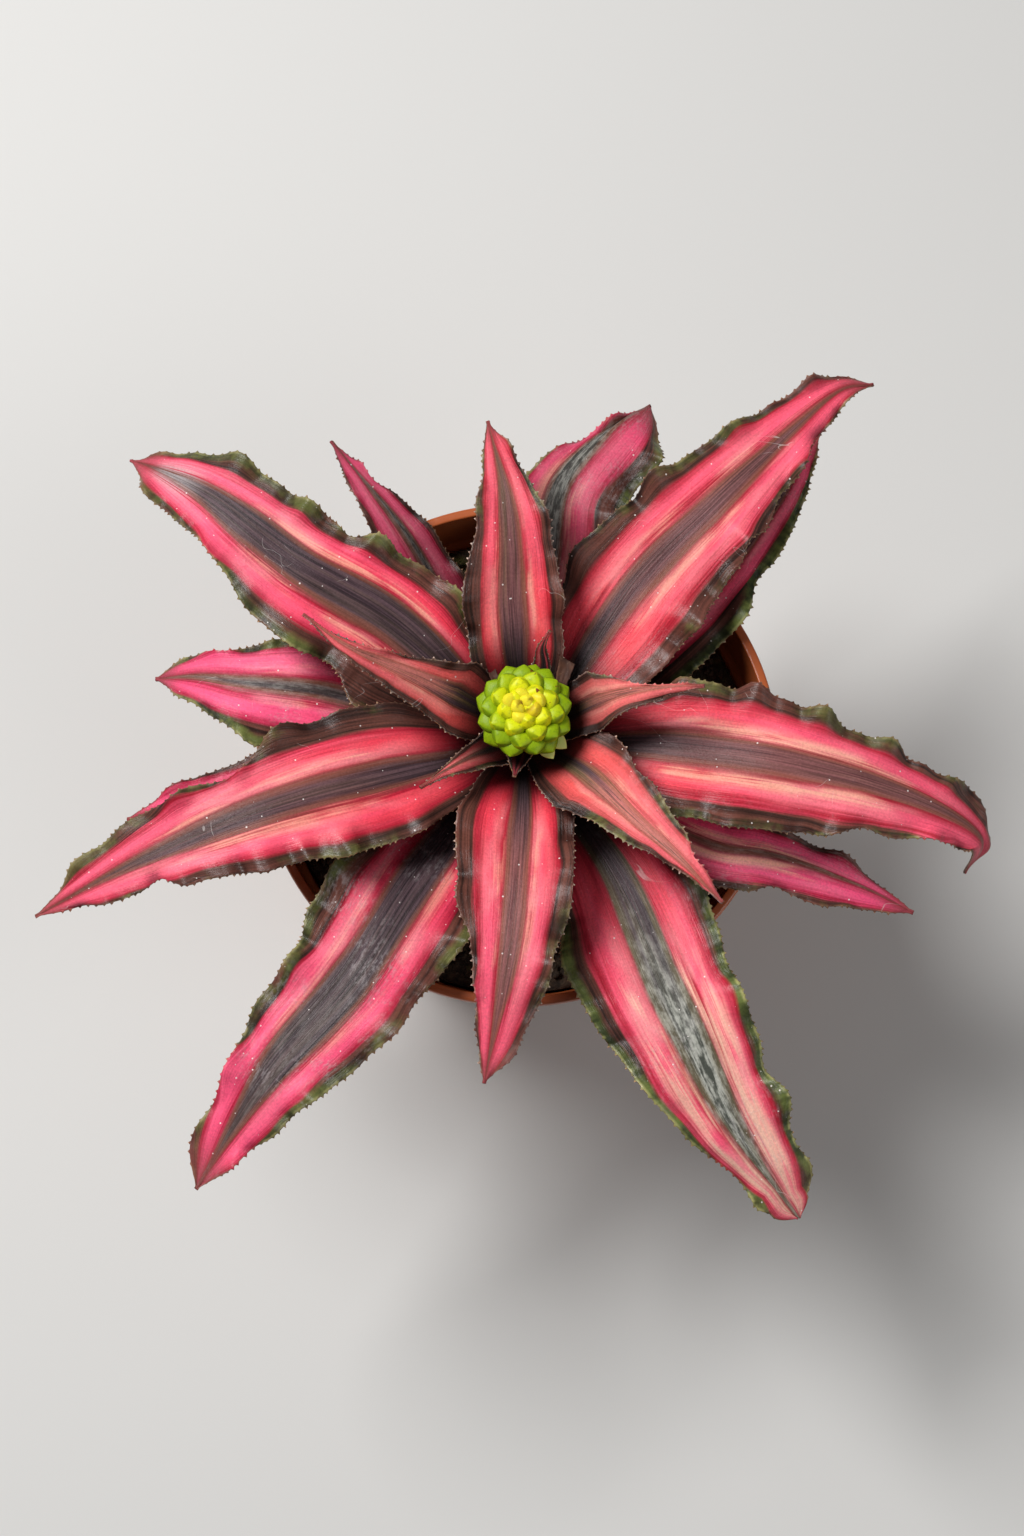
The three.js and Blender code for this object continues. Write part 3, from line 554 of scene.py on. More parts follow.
class Spine:
    """A smooth line through a blade's points, with its place, side and normal at equal steps."""

    SAMPLES = 60

    def __init__(self, points, steps):
        points = [Vector(p) for p in points]
        before = [points[0] * 2 - points[1], *points[:-1]]
        after = [*points[1:], points[-1] * 2 - points[-2]]
        path = [points[0]]
        for i in range(len(points) - 1):
            leave = points[i] + (points[i + 1] - before[i]) / 6
            arrive = points[i + 1] - (after[i + 1] - points[i]) / 6
            path += geometry.interpolate_bezier(points[i], leave, arrive, points[i + 1], self.SAMPLES)[1:]
        lengths = [0.0]
        for a, b in zip(path, path[1:]):
            lengths.append(lengths[-1] + (b - a).length)
        self.length = lengths[-1]
        self.steps = steps
        self.places, k = [], 0
        for i in range(steps + 1):
            wanted = self.length * i / steps
            while k < len(path) - 2 and lengths[k + 1] < wanted:
                k += 1
            share = (wanted - lengths[k]) / (lengths[k + 1] - lengths[k])
            self.places.append(path[k].lerp(path[k + 1], share))
        self.sides, self.normals, self.slopes = [], [], []
        side = Vector((0, 1, 0))
        for i in range(steps + 1):
            tangent = (self.places[min(i + 1, steps)] - self.places[max(i - 1, 0)]).normalized()
            side = (side - tangent * side.dot(tangent)).normalized()
            self.sides.append(side)
            self.normals.append(tangent.cross(side))
            self.slopes.append(tangent.z / max(LEAST_RUN, tangent.xy.length))

    def across(self, i, distance):
        """The blade's own point that far to the left of step i: wrapped round the stem at its root."""
        place = self.places[i]
        straight = place + self.sides[i] * distance
        out = place.xy.length
        turn = math.atan2(place.y, place.x) + distance / out
        wrapped = Vector((out * math.cos(turn), out * math.sin(turn), place.z))
        point = straight.lerp(wrapped, 1 - ease(out, ROOT_RADIUS, CLASP_END))
        point.z += self.slopes[i] * (point.xy.length - out)
        return point


def plain_half_width(leaf, side, t):
    """Half width of a blade without its bays."""
    full, fullness = side[:2]
    if t < leaf["widest"]:
        return lerp(leaf.get("root", ROOT_HALF_WIDTH), full, math.sin(math.pi / 2 * t / leaf["widest"]))
    past = (t - leaf["widest"]) / (1 - leaf["widest"])
    return full * (1 - past ** fullness)


def half_width(leaf, side, t):
    half = plain_half_width(leaf, side, t)
    for middle, spread, depth in side[4:]:
        half *= 1 - depth * math.exp(-(((t - middle) / spread) ** 2))
    return max(leaf.get("tip", TIP_HALF_WIDTH), half)


def margin_wave(side, t):
    """Long waves along a margin with shorter, lower ones on them; none at the root or the tip."""
    turn = 2 * math.pi * (side[2] * t + side[3])
    fade = ease(t, *WAVES_GROW) * (1 - ease(t, *WAVES_DIE))
    return fade * (0.75 * math.sin(turn) + 0.35 * math.sin(1.9 * turn + 1))


def place_on_plant(heading):
    """From a blade's own millimetres to the object's metres."""
    turn = Matrix.Rotation(math.radians(heading), 4, "Z")
    return Matrix.Scale(MM, 4) @ Matrix.Translation(PLANT_AXIS) @ turn


def tooth_row(steps, draw):
    """How far each step of a margin stands out, from 0 to 1: one narrow tooth for every pitch."""
    heights = [0.0] * (steps + 1)
    step = ROWS_PER_TOOTH
    while step < steps - 2:
        heights[step] = draw.uniform(0.3, 1.0)
        step += draw.choice((-1, 0, 0, 1, 1)) + ROWS_PER_TOOTH
    return heights


def make_leaf(leaf, order, settings, materials):
    draw = random.Random(LEAF_SEED + order)
    root = FIRST_ROOT + ROOT_PITCH * order
    points = [(ROOT_RADIUS, 0, root), *leaf["spine"]]
    rough_length = Spine(points, 20).length
    teeth = max(6, round(rough_length / settings.tooth_pitch))
    steps = teeth * ROWS_PER_TOOTH
    spine = Spine(points, steps)
    widest = max(leaf["left"][0], leaf["right"][0])
    columns = settings.columns if widest > NARROW_BLADE else settings.columns - COLUMNS_SAVED

    bm = bmesh.new()
    bmesh.ops.create_grid(bm, x_segments=steps, y_segments=columns, size=0.5)
    rim = bm.verts.layers.float.new("rim")
    crest = bm.verts.layers.float.new("crest")
    reach = bm.verts.layers.float.new("reach")
    bead = bm.verts.layers.float.new("tooth")
    weights = bm.verts.layers.deform.verify()
    blade_uv = bm.loops.layers.uv.new("blade")
    for face in bm.faces:
        for loop in face.loops:
            t, s = loop.vert.co.x + 0.5, gathered(2 * loop.vert.co.y)
            side = leaf["left"] if s > 0 else leaf["right"]
            plain = max(leaf.get("tip", TIP_HALF_WIDTH), plain_half_width(leaf, side, t))
            loop[blade_uv].uv = (t, s * half_width(leaf, side, t) / plain / 2 + 0.5)

    teeth_of = {1: tooth_row(steps, draw), -1: tooth_row(steps, draw)}
    grow = min(1.0, widest / FULL_GROWN)
    for vert in bm.verts:
        i = round((vert.co.x + 0.5) * steps)
        s = gathered(2 * vert.co.y)
        t = i / steps
        size = abs(s)
        sign = 1 if s > 0 else -1
        side = leaf["left"] if s > 0 else leaf["right"]
        half = half_width(leaf, side, t)
        notch = 0.0
        if "tip" in leaf:
            blunted = ease(t, BLUNT_FROM, 1.0)
            half *= math.sqrt(max(0.01, 1 - blunted ** 2))
            notch = TIP_NOTCH * math.exp(-(((s - NOTCH_PLACE) / NOTCH_SPREAD) ** 2)) * blunted
        toward = ease(size, WAVE_START, 1)
        wave = leaf["lift"] * margin_wave(side, t) * toward
        near_rim = ease(size, 0.55, 1) * ease(t, 0.1, 0.3) * (1 - ease(t, 0.9, 1))
        far = t * rough_length
        crimp = ripple(far / CRIMP_LENGTH, 3 * sign, order)
        crimp += FINE_CRIMP * ripple(far / FINE_CRIMP_LENGTH, 3 * sign + size, order)
        crimp *= CRIMP_GAIN * settings.crimp * grow * near_rim
        swell = SWELL * grow * ripple(far / SWELL_LENGTH, 1.6 * s, order + 40) * ease(t, 0.15, 0.4)
        rise = CHANNEL * half * s * s * ease(t, 0, 0.3) + wave + crimp + swell
        tooth = 0.0
        if size > 0.999:
            tooth = teeth_of[sign][i] * settings.tooth_length * grow
            tooth = tooth * ease(t, 0.02, 0.1) * (1 - ease(t, 0.93, 1))
        lean = (spine.places[min(i + 1, steps)] - spine.places[max(i - 1, 0)]).normalized()
        point = spine.across(i, s * (half + wave / 2) + sign * tooth)
        point += spine.normals[i] * rise + lean * (tooth * 0.5 - notch)
        vert.co = point
        vert[rim] = (1 - size) * half
        vert[crest] = (wave + 1.2 * crimp) / max(leaf["lift"], 0.8)
        vert[reach] = point.xy.length
        vert[bead] = teeth_of[sign][i] if tooth > 0.05 else 0.0
        thick = lerp(1.0, settings.margin_share, size ** 1.5) * (0.25 if tooth > 0 else 1)
        thick *= lerp(0.55, 1, min(1.0, half / 3))
        vert[weights][0] = max(0.05, thick)
    bm.transform(place_on_plant(leaf["heading"]))
    blade = show(finished_mesh(bm, leaf["name"] + "_blade"), leaf["name"], materials)
    blade.vertex_groups.new(name="thickness")
    shell = blade.modifiers.new("thickness", "SOLIDIFY")
    shell.thickness = settings.midrib_thickness * MM
    shell.offset = 0
    shell.vertex_group = "thickness"
    shell.material_offset = 1
    shell.material_offset_rim = 2
    return blade


def gathered(across):
    """Spreads a grid's columns so that they lie closer together towards the margins."""
    return across * (1.3 - 0.3 * across * across)


def finished_mesh(bm, name):
    """Ends a working mesh and keeps it as smooth-shaded data."""
    mesh = bpy.data.meshes.new(name)
    bm.to_mesh(mesh)
    bm.free()
    mesh.shade_smooth()
    return mesh


def put_in_scene(name, data):
    thing = bpy.data.objects.new(name, data)
    bpy.context.scene.collection.objects.link(thing)
    return thing


def show(mesh, node, materials):
    """Puts a mesh in the scene as the finished piece that stands for a node."""
    for material in materials:
        mesh.materials.append(material)
    piece = put_in_scene(mesh.name, mesh)
    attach(piece, "root")
    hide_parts(node)
    return piece


def make_dry_bract(bract, order, material):
    spine = Spine([(ROOT_RADIUS, 0, DRY_BRACT_ROOT), *bract["spine"]], 40)
    bm = bmesh.new()
    bmesh.ops.create_grid(bm, x_segments=spine.steps, y_segments=10, size=0.5)
    for vert in bm.verts:
        i = round((vert.co.x + 0.5) * spine.steps)
        s = 2 * vert.co.y
        t = i / spine.steps
        half = lerp(bract["root"], bract["tip"], t)
        ragged = 0.12 * ripple(t * 14, 2 * s, order + 7) * abs(s)
        curl = 0.5 * half * s * s + 0.3 * ripple(t * 9, s * 3, order)
        vert.co = spine.across(i, s * half * (1 + ragged)) + spine.normals[i] * curl
    bm.transform(place_on_plant(bract["heading"]))
    scrap = show(finished_mesh(bm, bract["name"] + "_scrap"), bract["name"], [material])
    shell = scrap.modifiers.new("thickness", "SOLIDIFY")
    shell.thickness = 0.3 * MM
    shell.offset = 0
    return scrap


def dry_bract_finish():
    f = Finish("dry_bract_paper")
    place = f.object_place()
    grain = f.noise(place, 700.0, 4.0, 0.7)
    blotch = f.noise(place, 220.0, 2.0)
    colour = f.mix(f.step(blotch, 0.35, 0.65), (0.045, 0.013, 0.005), (0.11, 0.036, 0.014))
    # the paler flecks along the grain are painted highlight
    colour = f.mix(f.step(grain, 0.55, 0.85), colour, (0.26, 0.14, 0.07))
    f.set(base_color=colour, roughness=0.75)
    f.bump(grain, 0.1 * MM)
    return f.material


# ---------------------------------------------------------------- flower head

def shape_bract(verts, half_size, fullness):
    """Turns a unit sphere into a fleshy scale: +Z to its tip, keels along +X and -X. The higher its
    fullness, the blunter is its tip."""
    for vert in verts:
        x, y, z = vert.co
        round_out = max(1e-6, math.hypot(x, y))
        angle = math.atan2(y, x)
        ridged = (abs(math.cos(angle)) ** 2.1 + abs(math.sin(angle)) ** 2.1) ** (-1 / 2.1)
        girth = (1 - z ** fullness if z > 0 else round_out) * ridged
        x, y = girth * math.cos(angle), girth * math.sin(angle)
        cupped = 0.3 * y * y
        vert.co = Vector(((x - cupped) * half_size.x, y * half_size.y, z * half_size.z))


def make_flower_head(settings, materials):
    bm = bmesh.new()
    ripeness = bm.verts.layers.float.new("ripeness")
    along = bm.verts.layers.float.new("along")
    flank = bm.verts.layers.float.new("flank")
    off_axis = bm.verts.layers.float.new("off_axis")
    middle = HEAD_BASE + HEAD_CORE_HEIGHT / 2
    core = bmesh.ops.create_uvsphere(bm, u_segments=32, v_segments=20, radius=1)["verts"]
    for vert in core:
        x, y, z = vert.co
        vert.co = Vector((x * HEAD_CORE_RADIUS * CORE_GIRTH, y * HEAD_CORE_RADIUS * CORE_GIRTH,
                          middle + z * HEAD_CORE_HEIGHT * CORE_RISE))
        vert[ripeness] = 1.0
        vert[along] = 0.0
    draw = random.Random(HEAD_SEED)

    def add_scale(down, turn, half_size, fullness, seat, colour_share):
        scale = bmesh.ops.create_uvsphere(bm, u_segments=24, v_segments=16, radius=1)["verts"]
        for vert in scale:
            vert[along] = vert.co.z * 0.5 + 0.5
            vert[flank] = abs(vert.co.y) / max(0.3, vert.co.xy.length)
            vert[ripeness] = colour_share
        shape_bract(scale, half_size, fullness)
        out = seat * HEAD_CORE_RADIUS * math.sin(down)
        height = middle + seat * math.cos(down) * HEAD_CORE_HEIGHT / 2
        tilt = Matrix.Rotation(down - BRACT_LIFT * math.sin(down), 4, "Y")
        wobble = Matrix.Rotation(draw.uniform(-0.15, 0.15), 4, "X")
        wobble = wobble @ Matrix.Rotation(draw.uniform(-0.3, 0.3), 4, "Z")
        spun = Matrix.Rotation(turn, 4, "Z")
        place = spun @ Matrix.Translation((out, 0, height)) @ tilt @ wobble
        bmesh.ops.transform(bm, verts=scale, matrix=place)

    for i in range(HEAD_BRACTS):
        share = (i + 0.5) / HEAD_BRACTS
        down = math.acos(1 - share * (1 - math.cos(LOWEST_BRACT)))
        half_size = BRACT_HALF_SIZE * Vector((lerp(1.1, 0.85, share), lerp(1.0, 1.15, share), 1))
        half_size *= lerp(*BRACT_SIZES, share)
        add_scale(down, i * GOLDEN_ANGLE, half_size, lerp(3.4, 2.4, share), BRACT_SEAT, share)
    for k in range(settings.florets):
        share = (k + 0.5) / settings.florets
        down = FLORET_SPREAD * math.sqrt(share)
        petal = Vector((1.5, 2.0, draw.uniform(2.0, 2.6)))
        add_scale(down, k * GOLDEN_ANGLE + 1, petal, FLORET_FULLNESS, FLORET_SEAT, -draw.random())
    for down, turn in PALE_BRACTS:
        place = math.radians(down), math.radians(turn)
        add_scale(*place, PALE_BRACT_HALF_SIZE, 2.4, PALE_BRACT_SEAT, PALE)
    for vert in bm.verts:
        vert[off_axis] = vert.co.xy.length
    bm.transform(Matrix.Scale(MM, 4) @ Matrix.Translation(PLANT_AXIS + Vector((0, HEAD_LEAN, 0))))
    return show(finished_mesh(bm, "flower_head_bracts"), "flower_head", materials)


def flower_head_finish(colours):
    """Fleshy lime scales, yellower to the crown, with painted shade at the foot and flanks of each scale and
    on the lower scales, dry amber and cream florets, a withered brown middle, and two pale bracts low down."""
    f = Finish("flower_head_flesh")
    ripeness = f.attribute("ripeness")
    along = f.attribute("along")
    place = f.object_place()
    speckle = f.noise(place, 1100.0, 3.0, 0.6)
    blotch = f.noise(place, 180.0, 2.0)
    colour = f.mix(f.step(f.scaled(blotch, 0.35, ripeness), 0.2, 0.75), colours.yellow, colours.lime)
    colour = f.mix(f.times(f.step(speckle, 0.5, 0.7), 0.3), colour, colours.dark_lime)
    # painted shade: darker at the foot and on the flanks of each scale, where the next scales crowd it, more
    # so lower down
    painted_crease_shade = f.scaled(f.step(ripeness, 0.0, 0.45), 0.5, 0.45)
    colour = f.mix(f.times(f.step(along, 0.66, 0.42), painted_crease_shade), colour, colours.dark_lime)
    flank = f.times(f.step(f.attribute("flank"), 0.78, 1.0), f.times(painted_crease_shade, 0.65))
    colour = f.mix(flank, colour, colours.dark_lime)
    # painted shade on the lower scales, darker towards the lowest
    colour = f.mix(f.times(f.step(ripeness, 0.15, 0.65), 0.5), colour, colours.dark_lime)
    colour = f.mix(f.step(ripeness, 1.4, 1.6), colour, colours.pale)
    scar = f.times(f.step(f.noise(place, 420.0, 2.0), 0.7, 0.74), f.step(along, 0.7, 0.8))
    colour = f.mix(scar, colour, colours.scar)
    floret = f.step(ripeness, -0.01, -0.03)
    dry = f.mix(f.step(ripeness, -0.6, -0.8), colours.floret, colours.amber)
    dry = f.mix(f.step(f.scaled(speckle, 0.5, along), 0.84, 0.62), dry, colours.scar)
    colour = f.mix(floret, colour, dry)
    withered = f.step(f.noise(place, 520.0, 3.0), 0.48, 0.6)
    withered = f.times(f.step(f.attribute("off_axis"), 3.0, 0.8), withered)
    colour = f.mix(f.times(withered, 0.8), colour, colours.scar)
    f.set(base_color=colour, roughness=0.45, specular_ior_level=0.22)
    f.surface.inputs["Subsurface Weight"].default_value = 0.15
    f.surface.inputs["Subsurface Radius"].default_value = (0.6, 0.9, 0.2)
    f.surface.inputs["Subsurface Scale"].default_value = 1.2 * MM
    f.bump(speckle, 0.12 * MM)
    return f.material


# ---------------------------------------------------------------- pot, soil and stem

_, POT_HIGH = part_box("pot")
POT_HEIGHT = POT_HIGH.z / MM
RIM_RADIUS = POT_HIGH.x / MM
POT_BASE_RADIUS = 42
POT_WALL = 1.2
POT_FLOOR = 1.8
COLLAR_HEIGHT = 15
SHOULDER_RADIUS = RIM_RADIUS - 3.8
COLLAR_FOOT = RIM_RADIUS - 2.2
DRAIN_HOLES = 6
DRAIN_RADIUS = 3.2
DRAIN_CIRCLE = 31
BASE_RISE = 1.2         # the middle of the underside stands clear of the ground by this
RIM_WIDTH = 2.2
EDGE_ROUNDING = 0.9
ARC_STEPS = 4
SOIL_HEIGHT = 82
SOIL_RINGS = 46
SOIL_SEED = 7
CRUMB_SIZES = (0.5, 0.7, 0.9, 1.3)
STEM_RADIUS = 5.5


def turned(profile, steps):
    """A closed body of revolution from (radius, height) pairs in millimetres, from axis to axis."""
    bm = bmesh.new()
    verts = [bm.verts.new((r * MM, 0, z * MM)) for r, z in profile]
    edges = [bm.edges.new(pair) for pair in zip(verts, verts[1:])]
    bmesh.ops.spin(bm, geom=verts + edges, cent=(0, 0, 0), axis=(0, 0, 1), angle=2 * math.pi,
                   steps=steps, use_merge=True)
    bmesh.ops.remove_doubles(bm, verts=bm.verts, dist=1e-6)
    bmesh.ops.recalc_face_normals(bm, faces=bm.faces)
    return bm


def rounded(profile, radius):
    """The profile with its inner corners cut to arcs of that radius or less."""
    out = [profile[0]]
    for before, here, after in zip(profile, profile[1:], profile[2:]):
        here, a, b = Vector(here), Vector(before), Vector(after)
        reach = min(radius, (a - here).length * 0.4, (b - here).length * 0.4)
        start = here + (a - here).normalized() * reach
        end = here + (b - here).normalized() * reach
        for k in range(ARC_STEPS + 1):
            share = k / ARC_STEPS
            out.append(tuple(start.lerp(here, share).lerp(here.lerp(end, share), share)))
    out.append(profile[-1])
    return out


def make_pot(settings, material):
    shoulder = POT_HEIGHT - COLLAR_HEIGHT
    profile = [
        (0, BASE_RISE), (30, BASE_RISE), (38, 0.9), (39, 0), (40.6, 0), (POT_BASE_RADIUS, 2),
        (SHOULDER_RADIUS, shoulder), (COLLAR_FOOT, shoulder + 1.4),
        (RIM_RADIUS - 1, POT_HEIGHT - 2.6), (RIM_RADIUS, POT_HEIGHT - 2),
        (RIM_RADIUS, POT_HEIGHT), (RIM_RADIUS - RIM_WIDTH, POT_HEIGHT),
        (RIM_RADIUS - RIM_WIDTH, POT_HEIGHT - 1.2), (COLLAR_FOOT - POT_WALL, shoulder + 2.8),
        (SHOULDER_RADIUS - POT_WALL, shoulder + 1.4), (POT_BASE_RADIUS - POT_WALL, POT_FLOOR + 2),
        (POT_BASE_RADIUS - POT_WALL - 2, POT_FLOOR), (0, POT_FLOOR),
    ]
    bm = turned(rounded(profile, EDGE_ROUNDING), settings.steps)
    pot = show(finished_mesh(bm, "nursery_pot"), "pot", [material])
    cut_drain_holes(pot)
    pot.data.shade_smooth()
    return pot


def cut_drain_holes(pot):
    bm = bmesh.new()
    for i in range(DRAIN_HOLES):
        angle = (i + 0.5) * 2 * math.pi / DRAIN_HOLES
        place = Vector((DRAIN_CIRCLE * math.cos(angle), DRAIN_CIRCLE * math.sin(angle), 0)) * MM
        bmesh.ops.create_cone(bm, cap_ends=True, segments=32, radius1=DRAIN_RADIUS * MM,
                              radius2=DRAIN_RADIUS * MM, depth=4 * POT_FLOOR * MM,
                              matrix=Matrix.Translation(place))
    drill = put_in_scene("drill", finished_mesh(bm, "drill"))
    cut = pot.modifiers.new("holes", "BOOLEAN")
    cut.operation = "DIFFERENCE"
    cut.object = drill
    settled = bpy.data.meshes.new_from_object(pot.evaluated_get(bpy.context.evaluated_depsgraph_get()))
    pot.modifiers.clear()
    pot.data = settled
    bpy.data.objects.remove(drill)


def pot_finish(colours):
    f = Finish("terracotta_plastic")
    place = f.object_place()
    x, y, z = f.split(place)
    cloud = f.noise(place, 35.0, 3.0)
    colour = f.mix(f.step(cloud, 0.35, 0.7), colours.terracotta, colours.terracotta_dark)
    dust = f.step(f.noise(place, 160.0, 4.0, 0.7), 0.55, 0.8)
    colour = f.mix(f.times(dust, 0.25), colour, colours.dust)
    f.set(base_color=colour, roughness=f.scaled(dust, 0.25, 0.28))
    scuff = f.noise(f.join(f.times(x, 300.0), f.times(y, 300.0), f.times(z, 2500.0)), 1.0, 2.0)
    f.bump(scuff, 0.06 * MM)
    return f.material


def make_soil(settings, materials):
    shoulder = POT_HEIGHT - COLLAR_HEIGHT
    edge = SHOULDER_RADIUS - POT_WALL - 0.5
    foot = POT_BASE_RADIUS - POT_WALL - 0.4
    profile = [(0, POT_FLOOR + 0.3), (foot - 2, POT_FLOOR + 0.3), (foot, POT_FLOOR + 2.3)]
    profile.append((edge, shoulder + 1.4))
    for i in range(SOIL_RINGS + 1):
        profile.append((edge * (1 - i / SOIL_RINGS), SOIL_HEIGHT + 2 * i / SOIL_RINGS))
    bm = turned(profile, 150)
    for vert in bm.verts:
        place = vert.co / MM
        if place.z < SOIL_HEIGHT - 0.01 or place.xy.length > edge - 1:
            continue
        coarse = ripple(place.x / 9, place.y / 9, 2)
        crumb = ripple(place.x / 2.6, place.y / 2.6, 5)
        vert.co.z += (0.9 * coarse + 0.6 * crumb) * MM
    draw = random.Random(SOIL_SEED)
    for _ in range(settings.crumbs):
        radius = edge * math.sqrt(draw.random()) * 0.97
        angle = draw.uniform(0, 2 * math.pi)
        size = draw.choice(CRUMB_SIZES)
        height = SOIL_HEIGHT + 0.4 + draw.uniform(0, 0.8)
        centre = Vector((radius * math.cos(angle), radius * math.sin(angle), height))
        crumb = bmesh.ops.create_icosphere(bm, subdivisions=1, radius=size * MM)["verts"]
        stretch = Matrix.Diagonal((draw.uniform(0.7, 1.6), draw.uniform(0.6, 1.1), draw.uniform(0.5, 0.9), 1))
        spin = Matrix.Rotation(draw.uniform(0, 6.3), 4, "Z")
        spin = spin @ Matrix.Rotation(draw.uniform(-0.6, 0.6), 4, "X")
        bmesh.ops.transform(bm, verts=crumb, matrix=Matrix.Translation(centre * MM) @ spin @ stretch)
    return show(finished_mesh(bm, "potting_mix"), "soil", materials)


def soil_finish(colours):
    f = Finish("potting_mix_crumbs")
    place = f.object_place()
    grain = f.noise(place, 700.0, 4.0, 0.7)
    patch = f.noise(place, 130.0, 3.0, 0.6)
    colour = f.mix(f.step(grain, 0.35, 0.7), colours.soil, colours.soil_light)
    colour = f.mix(f.times(f.step(patch, 0.58, 0.72), 0.6), colour, colours.moss)
    f.set(base_color=colour, roughness=0.9)
    f.bump(grain, 0.5 * MM)
    return f.material


def make_stem(material):
    """The short trunk, ringed by the scars and dry sheaths of old leaves."""
    low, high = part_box("stem")
    low_z, high_z = low.z / MM, high.z / MM
    profile = [(0, low_z), (1.5, low_z), (STEM_RADIUS, low_z + 4)]
    z = SOIL_HEIGHT - 1
    while z < high_z - 1.3:
        profile += [(STEM_RADIUS - 0.25, z), (STEM_RADIUS, z + 0.8)]
        z += ROOT_PITCH
    profile += [(STEM_RADIUS, high_z), (0, high_z)]
    bm = turned(profile, 72)
    bm.transform(Matrix.Translation(PLANT_AXIS * MM))
    return show(finished_mesh(bm, "stem_trunk"), "stem", [material])


def stem_finish():
    f = Finish("stem_bark")
    place = f.object_place()
    grain = f.noise(place, 500.0, 3.0, 0.7)
    colour = f.mix(f.step(grain, 0.35, 0.7), (0.05, 0.035, 0.018), (0.13, 0.12, 0.05))
    f.set(base_color=colour, roughness=0.75)
    f.bump(grain, 0.2 * MM)
    return f.material


# ---------------------------------------------------------------- stage

VIEW_ELEVATION = math.radians(75)
VIEW_DISTANCE = 700     # from the camera to the plane through the pot's rim
VIEW_AIM = (-1.61, -4.38)  # the frame's middle lies this far right of and above the rim's middle
LENS = 71.18


def make_camera():
    camera = put_in_scene("camera", bpy.data.cameras.new("camera"))
    camera.data.lens = LENS
    camera.data.sensor_width = 36
    ahead = Vector((0, math.cos(VIEW_ELEVATION), -math.sin(VIEW_ELEVATION)))
    up = Vector((0, math.sin(VIEW_ELEVATION), math.cos(VIEW_ELEVATION)))
    aim = Vector((VIEW_AIM[0], 0, POT_HEIGHT)) + up * VIEW_AIM[1]
    camera.location = (aim - ahead * VIEW_DISTANCE) * MM
    camera.rotation_euler = ahead.to_track_quat("-Z", "Y").to_euler()
    camera.data.clip_end = 20
    bpy.context.scene.camera = camera


def make_light(name, place, aim, size, watts):
    light = bpy.data.lights.new(name, "AREA")
    light.shape = "DISK"
    light.size = size
    light.energy = watts
    lamp = put_in_scene(name, light)
    lamp.location = place
    lamp.rotation_euler = (Vector(aim) - Vector(place)).to_track_quat("-Z", "Y").to_euler()


def make_floor(colour):
    bm = bmesh.new()
    bmesh.ops.create_grid(bm, x_segments=1, y_segments=1, size=8)
    mesh = bpy.data.meshes.new("floor")
    bm.to_mesh(mesh)
    bm.free()
    f = Finish("pale_floor")
    f.set(base_color=tuple(colour), roughness=0.8)
    mesh.materials.append(f.material)
    floor = put_in_scene("floor", mesh)


def set_world(strength):
    world = bpy.data.worlds.new("soft_room")
    world.use_nodes = True
    background = world.node_tree.nodes["Background"]
    background.inputs["Color"].default_value = (0.95, 0.97, 1, 1)
    background.inputs["Strength"].default_value = strength
    bpy.context.scene.world = world


# ---------------------------------------------------------------- settings

def colour_settings(**defaults):
    """Gives a group of settings one colour for each name."""
    def extend(group):
        for key, default in defaults.items():
            label = key.replace("_", " ").capitalize()
            group.__annotations__[key] = FloatVectorProperty(
                name=label, description=f"Colour: {label.lower()}", subtype="COLOR",
                size=3, min=0, max=1, default=default)
        return group
    return extend


@colour_settings(
    red=(0.85, 0.06, 0.05), rose=(0.8, 0.035, 0.09), coral=(0.95, 0.13, 0.16),
    magenta=(0.93, 0.09, 0.22), crimson=(0.4, 0.016, 0.018), dark_magenta=(0.42, 0.013, 0.045),
    peach=(0.97, 0.32, 0.27), blush=(0.95, 0.3, 0.38), cream=(0.95, 0.5, 0.34),
    straw=(0.86, 0.64, 0.44), dusty=(0.68, 0.2, 0.17), charcoal=(0.032, 0.02, 0.024),
    purple_brown=(0.1, 0.058, 0.068), umber=(0.13, 0.045, 0.045), red_brown=(0.33, 0.12, 0.115),
    olive=(0.17, 0.12, 0.05), grey_green=(0.07, 0.075, 0.062), silver=(0.42, 0.42, 0.37),
    rust=(0.34, 0.09, 0.045), margin_dark=(0.03, 0.015, 0.012), margin_brown=(0.16, 0.055, 0.04),
    green=(0.16, 0.19, 0.05), dark_green=(0.035, 0.045, 0.016), green_edge=(0.33, 0.32, 0.12),
    tip=(0.26, 0.06, 0.055), scurf=(0.5, 0.45, 0.45), speck=(0.9, 0.82, 0.78),
    tan_edge=(0.4, 0.2, 0.08), white_edge=(0.8, 0.58, 0.48), under_brown=(0.16, 0.075, 0.055),
    under_rose=(0.3, 0.1, 0.1), rim_dark=(0.1, 0.045, 0.025),
)
class EARTHSTAR_PG_leaf(bpy.types.PropertyGroup):
    """Sizes and colours of the blades."""

    midrib_thickness: FloatProperty(name="Midrib thickness", description="In millimetres",
                                    default=1.0, min=0.2)
    margin_share: FloatProperty(name="Margin share", description="Margin thickness over midrib thickness",
                                default=0.25, min=0.1, max=1, subtype="FACTOR")
    tooth_pitch: FloatProperty(name="Tooth pitch", description="Millimetres from tooth to tooth",
                               default=1.65, min=0.8)
    tooth_length: FloatProperty(name="Tooth length", description="In millimetres", default=0.62, min=0)
    crimp: FloatProperty(name="Crimp", description="Height of the fine crimps of a margin, in millimetres",
                         default=0.9, min=0)
    columns: IntProperty(name="Columns", description="Faces across a blade", default=28, min=8)


